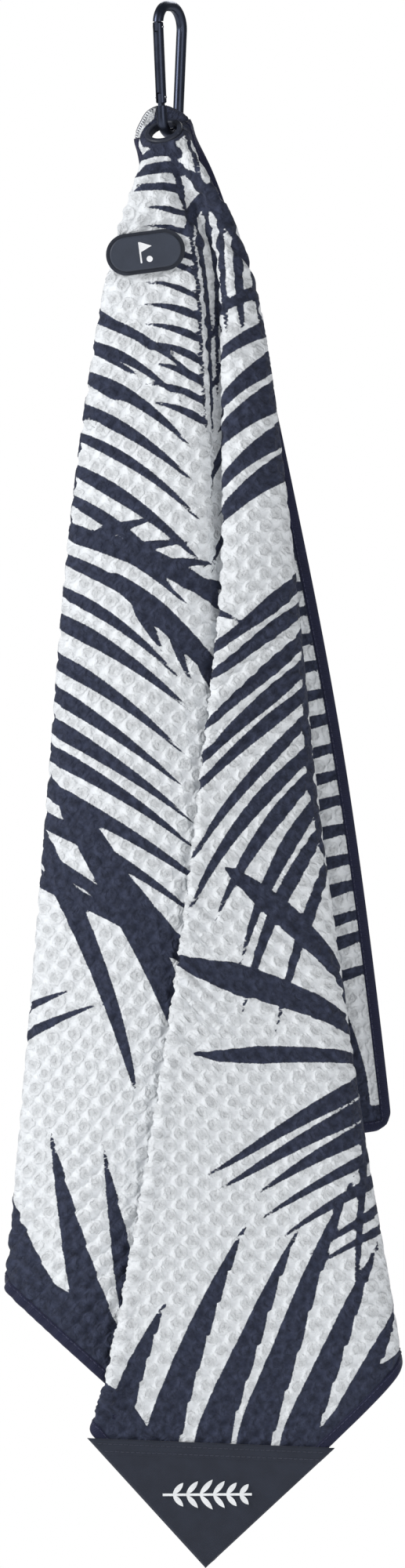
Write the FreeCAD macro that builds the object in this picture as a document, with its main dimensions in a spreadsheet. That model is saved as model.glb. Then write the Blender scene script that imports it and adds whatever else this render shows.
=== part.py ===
import FreeCAD, Part
import Sketcher
import math
import os
from FreeCAD import Placement, Rotation, Vector

# Golf towel hung by one corner: a spring-gate carabiner through a grommet,
# a square waffle-weave cloth in folds, a bound edge, a magnet pad and a corner patch.
# Millimetres. +Z up, -Y towards the printed front, origin inside the carabiner's crown.

os.makedirs("parts", exist_ok=True)
doc = FreeCAD.newDocument("golf_towel")
sheet = doc.addObject("Spreadsheet::Sheet", "dims")

DRIVING_DIMENSIONS = [
    ("towel_side", 508.0),
    ("cloth_thickness", 2.0),
    ("binding_width", 5.4),
    ("binding_thickness", 2.8),
    ("corner_height", -46.0),
    ("rod_radius", 2.6),
    ("carabiner_length", 68.0),
    ("crown_half_width", 12.5),
    ("bow_radius", 8.17),
    ("carabiner_turn", 60.0),
    ("gate_tilt", 4.8),
    ("gate_length", 37.0),
    ("gate_tail", 2.9),
    ("gate_bore_radius", 1.5),
    ("gate_bore_top", 18.0),
    ("gate_bevel", 0.45),
    ("latch_slot_depth", 4.9),
    ("latch_pin_drop", 2.45),
    ("hinge_pin_radius", 0.8),
    ("latch_pin_radius", 0.7),
    ("pin_length", 5.6),
    ("pin_running_gap", 0.05),
    ("slot_width", 2.3),
    ("tongue_width", 2.0),
    ("plunger_radius", 1.35),
    ("plunger_length", 6.0),
    ("spring_wire_radius", 0.2),
    ("grommet_hole_radius", 6.75),
    ("grommet_outer_radius", 9.65),
    ("grommet_wall", 0.6),
    ("grommet_rim_height", 1.4),
    ("washer_thickness", 0.8),
    ("eyelet_cloth_thickness", 1.2),
    ("pad_length", 39.0),
    ("pad_width", 20.5),
    ("pad_flange", 1.2),
    ("pad_height", 4.2),
    ("pad_rim", 1.8),
    ("pad_tilt", 7.5),
    ("magnet_length", 26.0),
    ("magnet_width", 10.0),
    ("magnet_thickness", 2.0),
    ("magnet_play", 0.1),
    ("pad_back_thickness", 1.0),
    ("inlay_depth", 0.5),
    ("patch_leg", 80.0),
    ("patch_thickness", 0.9),
    ("patch_turn", 7.04),
    ("tape_thickness", 0.5),
    ("stitch_length", 2.4),
    ("stitch_gap", 1.1),
    ("stitch_width", 0.5),
    ("stitch_height", 0.35),
    ("emblem_thickness", 0.7),
    ("emblem_length", 44.0),
]
for row, (alias, value) in enumerate(DRIVING_DIMENSIONS, start=1):
    sheet.set(f"A{row}", alias)
    sheet.set(f"B{row}", str(value))
    sheet.setAlias(f"B{row}", alias)
doc.recompute()


def dim(alias):
    return float(sheet.get(alias))


# ---------------------------------------------------------------- helpers

THROUGH_ALL = 40.0


def new_body(label):
    body = doc.addObject("PartDesign::Body", label)
    body.Label = label
    return body


def origin_plane(body, role):
    for feature in body.Origin.OriginFeatures:
        if feature.Role == role:
            return feature
    raise RuntimeError(role + " not found")


def add_sketch(body, name, role, geometry, offset=None):
    sketch = body.newObject("Sketcher::SketchObject", name)
    sketch.AttachmentSupport = [(origin_plane(body, role), "")]
    sketch.MapMode = "FlatFace"
    if offset is not None:
        sketch.AttachmentOffset = Placement(offset, Rotation())
    for item in geometry:
        sketch.addGeometry(item, False)
    doc.recompute()
    return sketch


def bind_radius(sketch, index, expression):
    constraint = sketch.addConstraint(Sketcher.Constraint("Radius", index, 1.0))
    sketch.setExpression(f"Constraints[{constraint}]", expression)
    doc.recompute()


def add_feature(body, kind, name, profile, **settings):
    feature = body.newObject("PartDesign::" + kind, name)
    feature.Profile = profile
    for key, value in settings.items():
        setattr(feature, key, value)
    doc.recompute()
    return feature


def remove_through(body, name, profile, width=None):
    """A pocket cut equally to both sides of its sketch plane; it has to take material away."""
    before = body.Shape.Volume
    pocket = body.newObject("PartDesign::Pocket", name)
    pocket.Profile = profile
    pocket.Midplane = True
    pocket.Type = 0
    pocket.Length = THROUGH_ALL
    if width is not None:
        pocket.setExpression("Length", width)
    doc.recompute()
    if not body.Shape.Volume < before - 1e-6:
        raise RuntimeError(name + " cuts nothing")
    return pocket


def polygon(points):
    edges = []
    for start, end in zip(points, points[1:] + points[:1]):
        edges.append(Part.LineSegment(Vector(*start, 0), Vector(*end, 0)))
    return edges


def circle(x, y, radius):
    return Part.Circle(Vector(x, y, 0), Vector(0, 0, 1), radius)


def pill(length, width):
    """A long slot outline centred on the origin: two straight sides and two half rounds."""
    radius = width / 2
    reach = length / 2 - radius
    return [
        Part.LineSegment(Vector(-reach, radius, 0), Vector(reach, radius, 0)),
        Part.Arc(Vector(reach, radius, 0), Vector(reach + radius, 0, 0), Vector(reach, -radius, 0)),
        Part.LineSegment(Vector(reach, -radius, 0), Vector(-reach, -radius, 0)),
        Part.Arc(Vector(-reach, -radius, 0), Vector(-reach - radius, 0, 0), Vector(-reach, radius, 0)),
    ]


def add_solid(label, shape, placement=None):
    feature = doc.addObject("Part::Feature", label)
    feature.Label = label
    feature.Shape = shape
    if placement is not None:
        feature.Placement = placement
    return feature


def frame_from_axes(origin, x_axis, z_axis):
    """Placement whose local X and Z run along the given world directions."""
    z_dir = Vector(*z_axis).normalize()
    x_dir = Vector(*x_axis)
    x_dir = (x_dir - z_dir * x_dir.dot(z_dir)).normalize()
    y_dir = z_dir.cross(x_dir)
    return Placement(Vector(*origin), Rotation(x_dir, y_dir, z_dir, "ZXY"))


# ---------------------------------------------------------------- carabiner
# Its own frame: X across the loop from the gate (-) to the spine (+), Z up.

ROD = dim("rod_radius")
CROWN_Z = ROD
BOW_Z = 2 * ROD - dim("carabiner_length") + ROD
CARABINER = Placement(Vector(0, 0, 0), Rotation(Vector(0, 0, 1), dim("carabiner_turn")))
GATE_TILT = math.radians(dim("gate_tilt"))
CROWN_CORNER_RADIUS = 11.0
GATE_CORNER_RADIUS = 9.0
HINGE_Z = -42.6
HINGE = Vector((CROWN_Z - HINGE_Z) * math.tan(GATE_TILT) - dim("crown_half_width"), 0, HINGE_Z)
TONGUE_HALF = 1.7
TONGUE_ROOT = 1.2
TAIL_GAP = 1.15
NOSE_GAP = 0.3
# The hook that holds the latch pin: (across, above the gate's end), in the gate's own frame.
NOSE_HOOK = [(-2.0, 1.5), (-2.0, -4.2), (0.2, -4.2), (0.9, -3.4),
             (-0.9, -3.4), (-0.9, -1.5), (1.9, -1.5), (1.9, 1.5)]
# A short rib inside the spine: (out from the rod's inner side, height).
KEEPER_RIB = [(0.9, -4.5), (-0.9, -6.0), (-0.4, -17.0), (0.9, -17.0)]
PLUNGER_BASE = TONGUE_HALF + 0.05
HINGE_SLOT_TOP = 2.4
GATE = CARABINER.multiply(Placement(HINGE, Rotation(Vector(0, 1, 0), -dim("gate_tilt"))))


def corner_arc(before, corner, after, radius):
    """Tangent arc that rounds one corner of the rod's centre line."""
    to_before = (before - corner).normalize()
    to_after = (after - corner).normalize()
    half = to_before.getAngle(to_after) / 2
    bisector = (to_before + to_after).normalize()
    centre = corner + bisector * (radius / math.sin(half))
    start = corner + to_before * (radius / math.tan(half))
    end = corner + to_after * (radius / math.tan(half))
    middle = centre - bisector * radius
    return start, middle, end


def rod_centre_line():
    """Closed pear of four corners, from the crown's middle by the spine and the bow to the gate."""
    top = dim("crown_half_width")
    drop = CROWN_Z - BOW_Z
    foot = top - drop * math.tan(GATE_TILT)
    corners = [
        (Vector(top, CROWN_Z, 0), CROWN_CORNER_RADIUS),
        (Vector(foot, BOW_Z, 0), dim("bow_radius")),
        (Vector(-foot, BOW_Z, 0), dim("bow_radius")),
        (Vector(-top, CROWN_Z, 0), GATE_CORNER_RADIUS),
    ]
    edges = []
    cursor = Vector(0, CROWN_Z, 0)
    count = len(corners)
    for index, (corner, radius) in enumerate(corners):
        before = corners[index - 1][0]
        after = corners[(index + 1) % count][0]
        start, middle, end = corner_arc(before, corner, after, radius)
        edges.append(Part.LineSegment(cursor, start))
        edges.append(Part.Arc(start, middle, end))
        cursor = end
    edges.append(Part.LineSegment(cursor, Vector(0, CROWN_Z, 0)))
    return edges


def on_gate(x, z):
    """A point given along the gate's own axes, in the carabiner's plane."""
    c = math.cos(-GATE_TILT)
    s = math.sin(-GATE_TILT)
    return (HINGE.x + x * c + z * s, HINGE.z - x * s + z * c)


def make_carabiner_frame():
    body = new_body("carabiner_frame")
    path = add_sketch(body, "rod_path", "XZ_Plane", rod_centre_line())
    section = add_sketch(body, "rod_section", "YZ_Plane", [circle(0, CROWN_Z, ROD)])
    bind_radius(section, 0, "dims.rod_radius")
    pipe = body.newObject("PartDesign::AdditivePipe", "bent_rod")
    pipe.Profile = section
    pipe.Spine = path
    doc.recompute()

    length = dim("gate_length")
    foot = -dim("gate_tail") - TAIL_GAP
    head = length + NOSE_GAP
    wide = 2 * ROD
    gap = [on_gate(-wide, foot), on_gate(wide, foot), on_gate(wide, head), on_gate(-wide, head)]
    remove_through(body, "gate_gap", add_sketch(body, "gate_gap_outline", "XZ_Plane", polygon(gap)))

    half = TONGUE_HALF
    root = foot - TONGUE_ROOT
    tongue = [on_gate(-half, root), on_gate(half, root), on_gate(half, half), on_gate(-half, half)]
    tongue_sketch = add_sketch(body, "hinge_tongue_outline", "XZ_Plane", polygon(tongue))
    pad = add_feature(body, "Pad", "hinge_tongue", tongue_sketch, Midplane=True)
    pad.setExpression("Length", "dims.tongue_width")

    nose = [on_gate(x, length + z) for x, z in NOSE_HOOK]
    nose_sketch = add_sketch(body, "nose_outline", "XZ_Plane", polygon(nose))
    pad = add_feature(body, "Pad", "nose", nose_sketch, Midplane=True)
    pad.setExpression("Length", "dims.tongue_width - 0.2")

    hole = add_sketch(body, "hinge_hole_outline", "XZ_Plane", [circle(HINGE.x, HINGE.z, 1.0)])
    bind_radius(hole, 0, "dims.hinge_pin_radius + dims.pin_running_gap")
    remove_through(body, "hinge_hole", hole)

    inner_side = dim("crown_half_width") - ROD
    rib = [(inner_side + x, z) for x, z in KEEPER_RIB]
    rib_sketch = add_sketch(body, "keeper_rib_outline", "XZ_Plane", polygon(rib))
    add_feature(body, "Pad", "keeper_rib", rib_sketch, Midplane=True, Length=ROD)
    body.Placement = CARABINER
    return body


def make_carabiner_gate():
    """Gate in its own frame: Z along it, the hinge pin's axis along Y through the origin."""
    body = new_body("carabiner_gate")
    tail = dim("gate_tail")
    length = dim("gate_length")
    radius = ROD
    bevel = dim("gate_bevel")
    profile = [
        (0, -tail), (radius - bevel, -tail), (radius, -tail + bevel),
        (radius, length - bevel), (radius - bevel, length), (0, length),
    ]
    outline = add_sketch(body, "gate_outline", "XZ_Plane", polygon(profile))
    add_feature(body, "Revolution", "gate_barrel", outline, ReferenceAxis=(outline, ["V_Axis"]), Angle=360.0)

    def add_slot(name, low, high):
        wide = 2 * radius
        outline = polygon([(-wide, low), (wide, low), (wide, high), (-wide, high)])
        slot = add_sketch(body, name + "_outline", "XZ_Plane", outline)
        remove_through(body, name, slot, "dims.slot_width")

    add_slot("latch_slot", length - dim("latch_slot_depth"), length + 1)
    add_slot("hinge_slot", -tail - 1, HINGE_SLOT_TOP)

    before = body.Shape.Volume
    bore_base = PLUNGER_BASE - 0.3
    bore_outline = add_sketch(body, "spring_bore_outline", "XY_Plane", [circle(0, 0, 1.0)],
                              Vector(0, 0, bore_base))
    bind_radius(bore_outline, 0, "dims.gate_bore_radius")
    add_feature(body, "Pocket", "spring_bore", bore_outline, Type=0, Reversed=True,
                Length=dim("gate_bore_top") - bore_base)
    if not body.Shape.Volume < before - 1:
        raise RuntimeError("spring_bore cuts nothing")

    hinge_hole = add_sketch(body, "hinge_pin_hole_outline", "XZ_Plane", [circle(0, 0, 1.0)])
    bind_radius(hinge_hole, 0, "dims.hinge_pin_radius")
    remove_through(body, "hinge_pin_hole", hinge_hole)
    latch_z = length - dim("latch_pin_drop")
    latch_hole = add_sketch(body, "latch_pin_hole_outline", "XZ_Plane", [circle(0, latch_z, 1.0)])
    bind_radius(latch_hole, 0, "dims.latch_pin_radius")
    remove_through(body, "latch_pin_hole", latch_hole)
    body.Placement = GATE
    return body


def make_cross_pin(label, radius_alias, height):
    """Plain riveted pin across the gate, standing a little proud on each side."""
    pin = doc.addObject("Part::Cylinder", label)
    pin.Label = label
    pin.setExpression("Radius", "dims." + radius_alias)
    pin.setExpression("Height", "dims.pin_length")
    half = dim("pin_length") / 2
    pin.Placement = GATE.multiply(Placement(Vector(0, half, height), Rotation(Vector(1, 0, 0), 90)))
    return pin


def make_gate_plunger():
    plunger = doc.addObject("Part::Cylinder", "gate_plunger")
    plunger.Label = "gate_plunger"
    plunger.setExpression("Radius", "dims.plunger_radius")
    plunger.setExpression("Height", "dims.plunger_length")
    plunger.Placement = GATE.multiply(Placement(Vector(0, 0, PLUNGER_BASE), Rotation()))
    return plunger


SPRING_TURNS = 7


def make_gate_spring():
    wire_radius = dim("spring_wire_radius")
    coil_radius = dim("gate_bore_radius") - wire_radius - 0.12
    seat = wire_radius + 0.05
    base = PLUNGER_BASE + dim("plunger_length") + seat
    top = dim("gate_bore_top") - seat
    helix = Part.makeHelix((top - base) / SPRING_TURNS, top - base, coil_radius)
    section = Part.Wire([Part.makeCircle(wire_radius, Vector(coil_radius, 0, 0), Vector(0, 1, 0))])
    coil = Part.Wire(helix).makePipeShell([section], True, True)
    spring = add_solid("gate_spring", coil)
    spring.Placement = GATE.multiply(Placement(Vector(0, 0, base), Rotation()))
    return spring


# ---------------------------------------------------------------- grommet
# The eyelet lies in the cloth near the corner, tipped up towards the front.

EYELET_U = Vector(0.951, 0, 0.309)
EYELET_N = Vector(-0.256, -0.559, 0.788)
EYELET_V = EYELET_N.cross(EYELET_U).normalize()
EYELET_CENTRE = Vector(-2.8, -4.6, -60.0)
EYELET = frame_from_axes(EYELET_CENTRE, EYELET_U, EYELET_N)


def make_grommet_front():
    body = new_body("grommet_front")
    inner = dim("grommet_hole_radius")
    outer = dim("grommet_outer_radius")
    wall = dim("grommet_wall")
    cloth_half = dim("eyelet_cloth_thickness") / 2
    top = cloth_half + dim("grommet_rim_height")
    back = -cloth_half - dim("washer_thickness")
    lip = back - wall
    bend = 0.9
    sag = bend * (1 - math.sqrt(0.5))
    profile = [
        Part.LineSegment(Vector(inner, lip + 0.3, 0), Vector(inner, top - bend, 0)),
        Part.Arc(Vector(inner, top - bend, 0), Vector(inner + sag, top - sag, 0),
                 Vector(inner + bend, top, 0)),
        Part.LineSegment(Vector(inner + bend, top, 0), Vector(outer - bend, top, 0)),
        Part.Arc(Vector(outer - bend, top, 0), Vector(outer - sag, top - sag, 0),
                 Vector(outer, top - bend, 0)),
        Part.LineSegment(Vector(outer, top - bend, 0), Vector(outer, cloth_half, 0)),
        Part.LineSegment(Vector(outer, cloth_half, 0), Vector(inner + wall, cloth_half, 0)),
        Part.LineSegment(Vector(inner + wall, cloth_half, 0), Vector(inner + wall, back, 0)),
        Part.LineSegment(Vector(inner + wall, back, 0), Vector(inner + 1.6, back, 0)),
        Part.LineSegment(Vector(inner + 1.6, back, 0), Vector(inner + 1.3, lip, 0)),
        Part.LineSegment(Vector(inner + 1.3, lip, 0), Vector(inner + 0.3, lip, 0)),
        Part.LineSegment(Vector(inner + 0.3, lip, 0), Vector(inner, lip + 0.3, 0)),
    ]
    outline = add_sketch(body, "eyelet_outline", "XZ_Plane", profile)
    add_feature(body, "Revolution", "eyelet", outline, ReferenceAxis=(outline, ["V_Axis"]), Angle=360.0)
    body.Placement = EYELET
    return body


def make_grommet_back():
    body = new_body("grommet_back")
    inner = dim("grommet_hole_radius") + dim("grommet_wall")
    outer = dim("grommet_outer_radius") - 0.3
    high = -dim("eyelet_cloth_thickness") / 2
    low = high - dim("washer_thickness")
    profile = [(inner, low), (outer - 0.4, low), (outer, low + 0.4), (outer, high), (inner, high)]
    outline = add_sketch(body, "washer_outline", "XZ_Plane", polygon(profile))
    add_feature(body, "Revolution", "washer", outline, ReferenceAxis=(outline, ["V_Axis"]), Angle=360.0)
    body.Placement = EYELET
    return body


# ---------------------------------------------------------------- cloth
# Folds fan out from the grommet corner. Each rib is one fold line, named, with the flat angle
# from the right-hand hem and its (x, y) at four heights and at the hem.

HEIGHTS = [-74.0, -104.0, -136.0, -380.0]
RIBS = [
    ("right_hem", 0.0, [(15, 8), (28, 12), (40, 18), (87, 34), (111, 40)]),
    ("back_fold_rear", 18.0, [(-8, 9), (-12, 13), (-16, 18), (-28, 29), (-45, 35)]),
    ("back_fold_front", 18.6, [(-8, 6), (-12, 9.5), (-16, 13.5), (-28, 23), (-45, 28)]),
    ("right_roll_rear", 34.0, [(12, 4.5), (25, 5), (37, 6), (66, 10), (100, 12)]),
    ("right_roll_front", 37.0, [(13, -7), (27, -7), (39, -7), (69, -8), (113, -8.3)]),
    ("patch_right", 40.1, [(12, -8), (26, -9), (36, -10), (54, -12.5), (77, -12.7)]),
    ("bottom_corner", 45.0, [(10, -10), (24, -11), (33, -12), (34, -18), (18, -20)]),
    ("right_lobe_edge", 49.6, [(7, -13), (22, -13), (25, -15), (13, -24), (-38, -26.9)]),
    ("valley_right", 52.3, [(6, -7.5), (20, -5), (24, -5), (34, -14), (-8, -20)]),
    ("valley_left", 52.6, [(3, -7.5), (10, -5), (16, -5), (34, -11), (-8, -16.5)]),
    ("left_lobe_edge", 54.5, [(2, -12), (8.5, -12), (14, -12), (14, -13), (-30, -16)]),
    ("left_roll_front", 59.8, [(-13, -11), (-24, -12), (-33, -12), (-59, -8), (-83, -6)]),
    ("left_roll_rear", 61.5, [(-12, -5), (-22, -4), (-31, -3), (-57, 1), (-80, 3)]),
    ("inner_fold_front", 75.0, [(5, -3), (14, -1), (20, 0), (38, 4), (50, 6)]),
    ("inner_fold_rear", 75.6, [(5, 0.5), (14, 3), (20, 4), (38, 8), (50, 10)]),
    ("left_hem", 90.0, [(-10, 2.5), (-17, 5), (-24, 8), (-44, 16), (-58, 20)]),
]


def hem_distance(angle):
    """Flat distance from the grommet corner to the hem along one fold line."""
    turn = math.radians(angle)
    return dim("towel_side") / max(math.cos(turn), math.sin(turn))


def rib_points(angle, places):
    points = [Vector(x, y, z) for (x, y), z in zip(places, HEIGHTS)]
    x, y = places[-1]
    reach = hem_distance(angle)
    z = dim("corner_height") - math.sqrt(reach * reach - x * x - y * y)
    hem = Vector(x, y, z)
    last_run = hem - points[-1]
    turn = math.radians(min(angle, 90 - angle))
    inset = dim("binding_width") / math.cos(turn)
    points.append(hem - last_run * (inset / last_run.Length))
    points.append(hem)
    return points


def cloth_grid():
    """Rib lines left to right of the flat cloth, with one more beside each free side for the binding."""
    grid = [rib_points(angle, places) for name, angle, places in RIBS]
    width = dim("binding_width")

    def beside(edge, neighbour):
        line = []
        for here, there in zip(edge, neighbour):
            across = there - here
            line.append(here + across * (width / across.Length))
        return line

    grid.insert(1, beside(grid[0], grid[1]))
    grid.insert(len(grid) - 1, beside(grid[-1], grid[-2]))
    return grid


def grid_normals(grid):
    """Mitred offset direction at each grid point, square to the folds on either side."""
    normals = []
    last = len(grid) - 1
    for i, line in enumerate(grid):
        row = []
        for j, point in enumerate(line):
            below = line[min(j + 1, len(line) - 1)]
            above = line[max(j - 1, 0)]
            down = (below - above).normalize()
            sides = []
            if i > 0:
                sides.append((point - grid[i - 1][j]).cross(down).normalize())
            if i < last:
                sides.append((grid[i + 1][j] - point).cross(down).normalize())
            total = sides[0] if len(sides) == 1 else (sides[0] + sides[1])
            total = Vector(total).normalize()
            stretch = min(1.5, 1.0 / max(0.4, total.dot(sides[0])))
            row.append(total * stretch)
        normals.append(row)
    return normals


def sheet_solid(grid, normals, thickness, keep):
    """Closed solid of the kept cells of a folded sheet, all faces flat triangles."""
    half = thickness / 2

    def skin(i, j, side):
        return grid[i][j] + normals[i][j] * (side * half)

    def triangles(a, b, c, d):
        faces = []
        for corner in ((a, b, c), (a, c, d)):
            loop = Part.makePolygon([corner[0], corner[1], corner[2], corner[0]])
            faces.append(Part.Face(loop))
        return faces

    faces = []
    for i in range(len(grid) - 1):
        for j in range(len(grid[0]) - 1):
            if not keep(i, j):
                continue
            for side in (-1, 1):
                faces += triangles(skin(i, j, side), skin(i + 1, j, side),
                                   skin(i + 1, j + 1, side), skin(i, j + 1, side))
            borders = [
                ((i, j), (i + 1, j), (i, j - 1)),
                ((i, j + 1), (i + 1, j + 1), (i, j + 1)),
                ((i, j), (i, j + 1), (i - 1, j)),
                ((i + 1, j), (i + 1, j + 1), (i + 1, j)),
            ]
            for (p, q), (r, s), (ni, nj) in borders:
                inside = 0 <= ni < len(grid) - 1 and 0 <= nj < len(grid[0]) - 1
                if inside and keep(ni, nj):
                    continue
                faces += triangles(skin(p, q, -1), skin(r, s, -1), skin(r, s, 1), skin(p, q, 1))
    shell = Part.Shell(faces)
    shell.sewShape()
    solid = Part.Solid(Part.Shell(shell.Faces))
    if solid.Volume < 0:
        solid.reverse()
    return solid


EYELET_PLATE_RADIUS = 13.5
FLAP_ROOT = 8.6
FLAP_HALF_WIDTH = 12.6
FLAP_RISE = 9.0
OVERLOCK_WIDTH = 1.0


def eyelet_plate():
    """Flat piece of the cloth round the grommet, cut off square behind it."""
    half = dim("eyelet_cloth_thickness") / 2
    disc = Part.makeCylinder(EYELET_PLATE_RADIUS, 2 * half, Vector(0, 0, -half))
    hole_radius = dim("grommet_hole_radius") + dim("grommet_wall")
    hole = Part.makeCylinder(hole_radius, 4 * half, Vector(0, 0, -2 * half))
    behind = Part.makeBox(40, 20, 10, Vector(-20, FLAP_ROOT, -5))
    plate = disc.cut(hole).cut(behind)
    plate.Placement = EYELET
    return plate


def corner_flap(inset, thickness):
    """The corner of the cloth, standing up behind the grommet, rounded at its tip."""
    base = FLAP_HALF_WIDTH - inset
    shoulder = base - 1.2
    rise = FLAP_RISE - inset
    low = -1.5
    high = 1.5
    outline = Part.Wire([
        Part.makeLine(Vector(-base, low, 0), Vector(base, low, 0)),
        Part.makeLine(Vector(base, low, 0), Vector(shoulder, high, 0)),
        Part.Arc(Vector(shoulder, high, 0), Vector(0, rise, 0), Vector(-shoulder, high, 0)).toShape(),
        Part.makeLine(Vector(-shoulder, high, 0), Vector(-base, low, 0)),
    ])
    flap = Part.Face(outline).extrude(Vector(0, 0, thickness))
    flap.translate(Vector(0, 0, -thickness / 2))
    root = EYELET_CENTRE + EYELET_V * FLAP_ROOT
    flap.Placement = frame_from_axes(root, EYELET_U, Vector(-0.12, -0.99, 0.0))
    return flap


FRONT_TOP_Z = -66.5
# The cloth is one sheet, kept as three solids that meet along two of its folds.
CLOTH_PANELS = [
    ("towel_right_fold", "beside_right_hem", "right_roll_front"),
    ("towel_front_panel", "right_roll_front", "left_roll_front"),
    ("towel_left_fold", "left_roll_front", "beside_left_hem"),
]


def column_numbers():
    names = [name for name, angle, places in RIBS]
    names.insert(1, "beside_right_hem")
    names.insert(len(names) - 1, "beside_left_hem")
    return {name: index for index, name in enumerate(names)}


def extend_to_eyelet(grid, columns):
    """The front folds start higher, where they run into the plate round the grommet."""
    for index in range(columns["right_roll_front"], columns["left_roll_front"] + 1):
        line = grid[index]
        top = line[0]
        line[0] = Vector(top.x, top.y - 0.4, FRONT_TOP_Z)
    return grid


def make_cloth_and_binding(grommet_parts):
    columns = column_numbers()
    grid = extend_to_eyelet(cloth_grid(), columns)
    normals = grid_normals(grid)
    last_column = len(grid) - 2
    last_row = len(grid[0]) - 2

    def is_binding(i, j):
        return i in (0, last_column) or j == last_row

    panels = []
    for label, first, last in CLOTH_PANELS:
        span = range(columns[first], columns[last])
        panel = sheet_solid(grid, normals, dim("cloth_thickness"),
                            lambda i, j: i in span and not is_binding(i, j))
        if label == "towel_front_panel":
            panel = panel.fuse([eyelet_plate(), corner_flap(OVERLOCK_WIDTH, dim("eyelet_cloth_thickness"))])
            for other in panels:
                panel = panel.cut(other)
        for part in grommet_parts:
            panel = panel.cut(part.Shape)
        if label == "towel_left_fold":
            panel = panel.cut(panels[-1])
        panel = max(panel.Solids, key=lambda solid: solid.Volume)
        panels.append(panel)
        add_solid(label, panel)
    binding = sheet_solid(grid, normals, dim("binding_thickness"), is_binding).cut(panels)
    add_solid("edge_binding", max(binding.Solids, key=lambda solid: solid.Volume))

    whole = corner_flap(0.0, dim("eyelet_cloth_thickness") + 0.6)
    rim = whole.cut(corner_flap(OVERLOCK_WIDTH, 6.0))
    below = Part.makeBox(60, 10, 30, Vector(-30, -11.0, -15))
    below.Placement = whole.Placement
    add_solid("corner_overlock", rim.cut(below))


# ---------------------------------------------------------------- magnet pad

PAD_BACK_Y = -13.1
PAD = frame_from_axes((-12.0, PAD_BACK_Y, -119.0),
                      (math.cos(math.radians(dim("pad_tilt"))), 0, math.sin(math.radians(dim("pad_tilt")))),
                      (0, -1, 0))
PAD_EDGE_RADIUS = 0.9


def flag_outline():
    """Flagstick with a pennant beside a ball: the pad's plain pictogram."""
    stick = [(-3.0, -5.2), (-2.2, -5.2), (-2.2, 0.2), (3.4, 2.7), (-2.2, 5.2), (-3.0, 5.2)]
    return polygon(stick), circle(1.6, -3.6, 1.5)


def make_magnet_pad_cover():
    body = new_body("magnet_pad_cover")
    length = dim("pad_length")
    width = dim("pad_width")
    rim = dim("pad_rim")
    flange = add_sketch(body, "flange_outline", "XY_Plane", pill(length, width))
    pad = add_feature(body, "Pad", "flange", flange)
    pad.setExpression("Length", "dims.pad_flange")
    plateau = add_sketch(body, "plateau_outline", "XY_Plane", pill(length - 2 * rim, width - 2 * rim))
    pad = add_feature(body, "Pad", "plateau", plateau)
    pad.setExpression("Length", "dims.pad_height")
    doc.recompute()

    top_edges = []
    for index, edge in enumerate(body.Shape.Edges, start=1):
        heights = [vertex.Z for vertex in edge.Vertexes]
        if min(heights) > dim("pad_height") - 0.01:
            top_edges.append(f"Edge{index}")
    fillet = body.newObject("PartDesign::Fillet", "soft_edge")
    fillet.Base = (pad, top_edges)
    fillet.Radius = PAD_EDGE_RADIUS
    doc.recompute()

    before = body.Shape.Volume
    play = dim("magnet_play")
    half_length = dim("magnet_length") / 2 + play
    half_width = dim("magnet_width") / 2 + play
    cavity = [(-half_length, -half_width), (half_length, -half_width), (half_length, half_width),
              (-half_length, half_width)]
    cavity_sketch = add_sketch(body, "magnet_cavity_outline", "XY_Plane", polygon(cavity))
    add_feature(body, "Pocket", "magnet_cavity", cavity_sketch, Type=0, Reversed=True,
                Length=dim("magnet_thickness") + play)
    stick, ball = flag_outline()
    inlay = add_sketch(body, "inlay_outline", "XY_Plane", stick + [ball], Vector(0, 0, dim("pad_height")))
    add_feature(body, "Pocket", "inlay_recess", inlay, Type=0, Length=dim("inlay_depth"))
    if not body.Shape.Volume < before - dim("magnet_length"):
        raise RuntimeError("the pad's cavity or recess cuts nothing")
    body.Placement = PAD
    return body


def make_pad_pictogram():
    body = new_body("pad_pictogram")
    stick, ball = flag_outline()
    base = dim("pad_height") - dim("inlay_depth")
    outline = add_sketch(body, "pictogram_outline", "XY_Plane", stick, Vector(0, 0, base))
    add_feature(body, "Pad", "flagstick", outline, Length=dim("inlay_depth"))
    body.Placement = PAD
    ball_body = new_body("pad_ball_mark")
    ball_outline = add_sketch(ball_body, "ball_outline", "XY_Plane", [ball], Vector(0, 0, base))
    add_feature(ball_body, "Pad", "ball_disc", ball_outline, Length=dim("inlay_depth"))
    ball_body.Placement = PAD
    return body


def make_pad_magnet():
    magnet = doc.addObject("Part::Box", "pad_magnet")
    magnet.Label = "pad_magnet"
    magnet.setExpression("Length", "dims.magnet_length")
    magnet.setExpression("Width", "dims.magnet_width")
    magnet.setExpression("Height", "dims.magnet_thickness")
    corner = Vector(-dim("magnet_length") / 2, -dim("magnet_width") / 2, dim("magnet_play") / 2)
    magnet.Placement = PAD.multiply(Placement(corner, Rotation()))
    return magnet


PAD_BACK_LENGTH = 26.0
PAD_BACK_WIDTH = 13.5


def make_magnet_pad_back():
    body = new_body("magnet_pad_back")
    thickness = dim("pad_back_thickness")
    behind = dim("cloth_thickness") + 0.2
    outline = add_sketch(body, "back_outline", "XY_Plane", pill(PAD_BACK_LENGTH, PAD_BACK_WIDTH),
                         Vector(0, 0, -behind - thickness))
    add_feature(body, "Pad", "back_plate", outline, Length=thickness)
    body.Placement = PAD
    return body


# ---------------------------------------------------------------- corner patch
# Its own frame: X along the top edge, Y up, Z out of the printed face.

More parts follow.
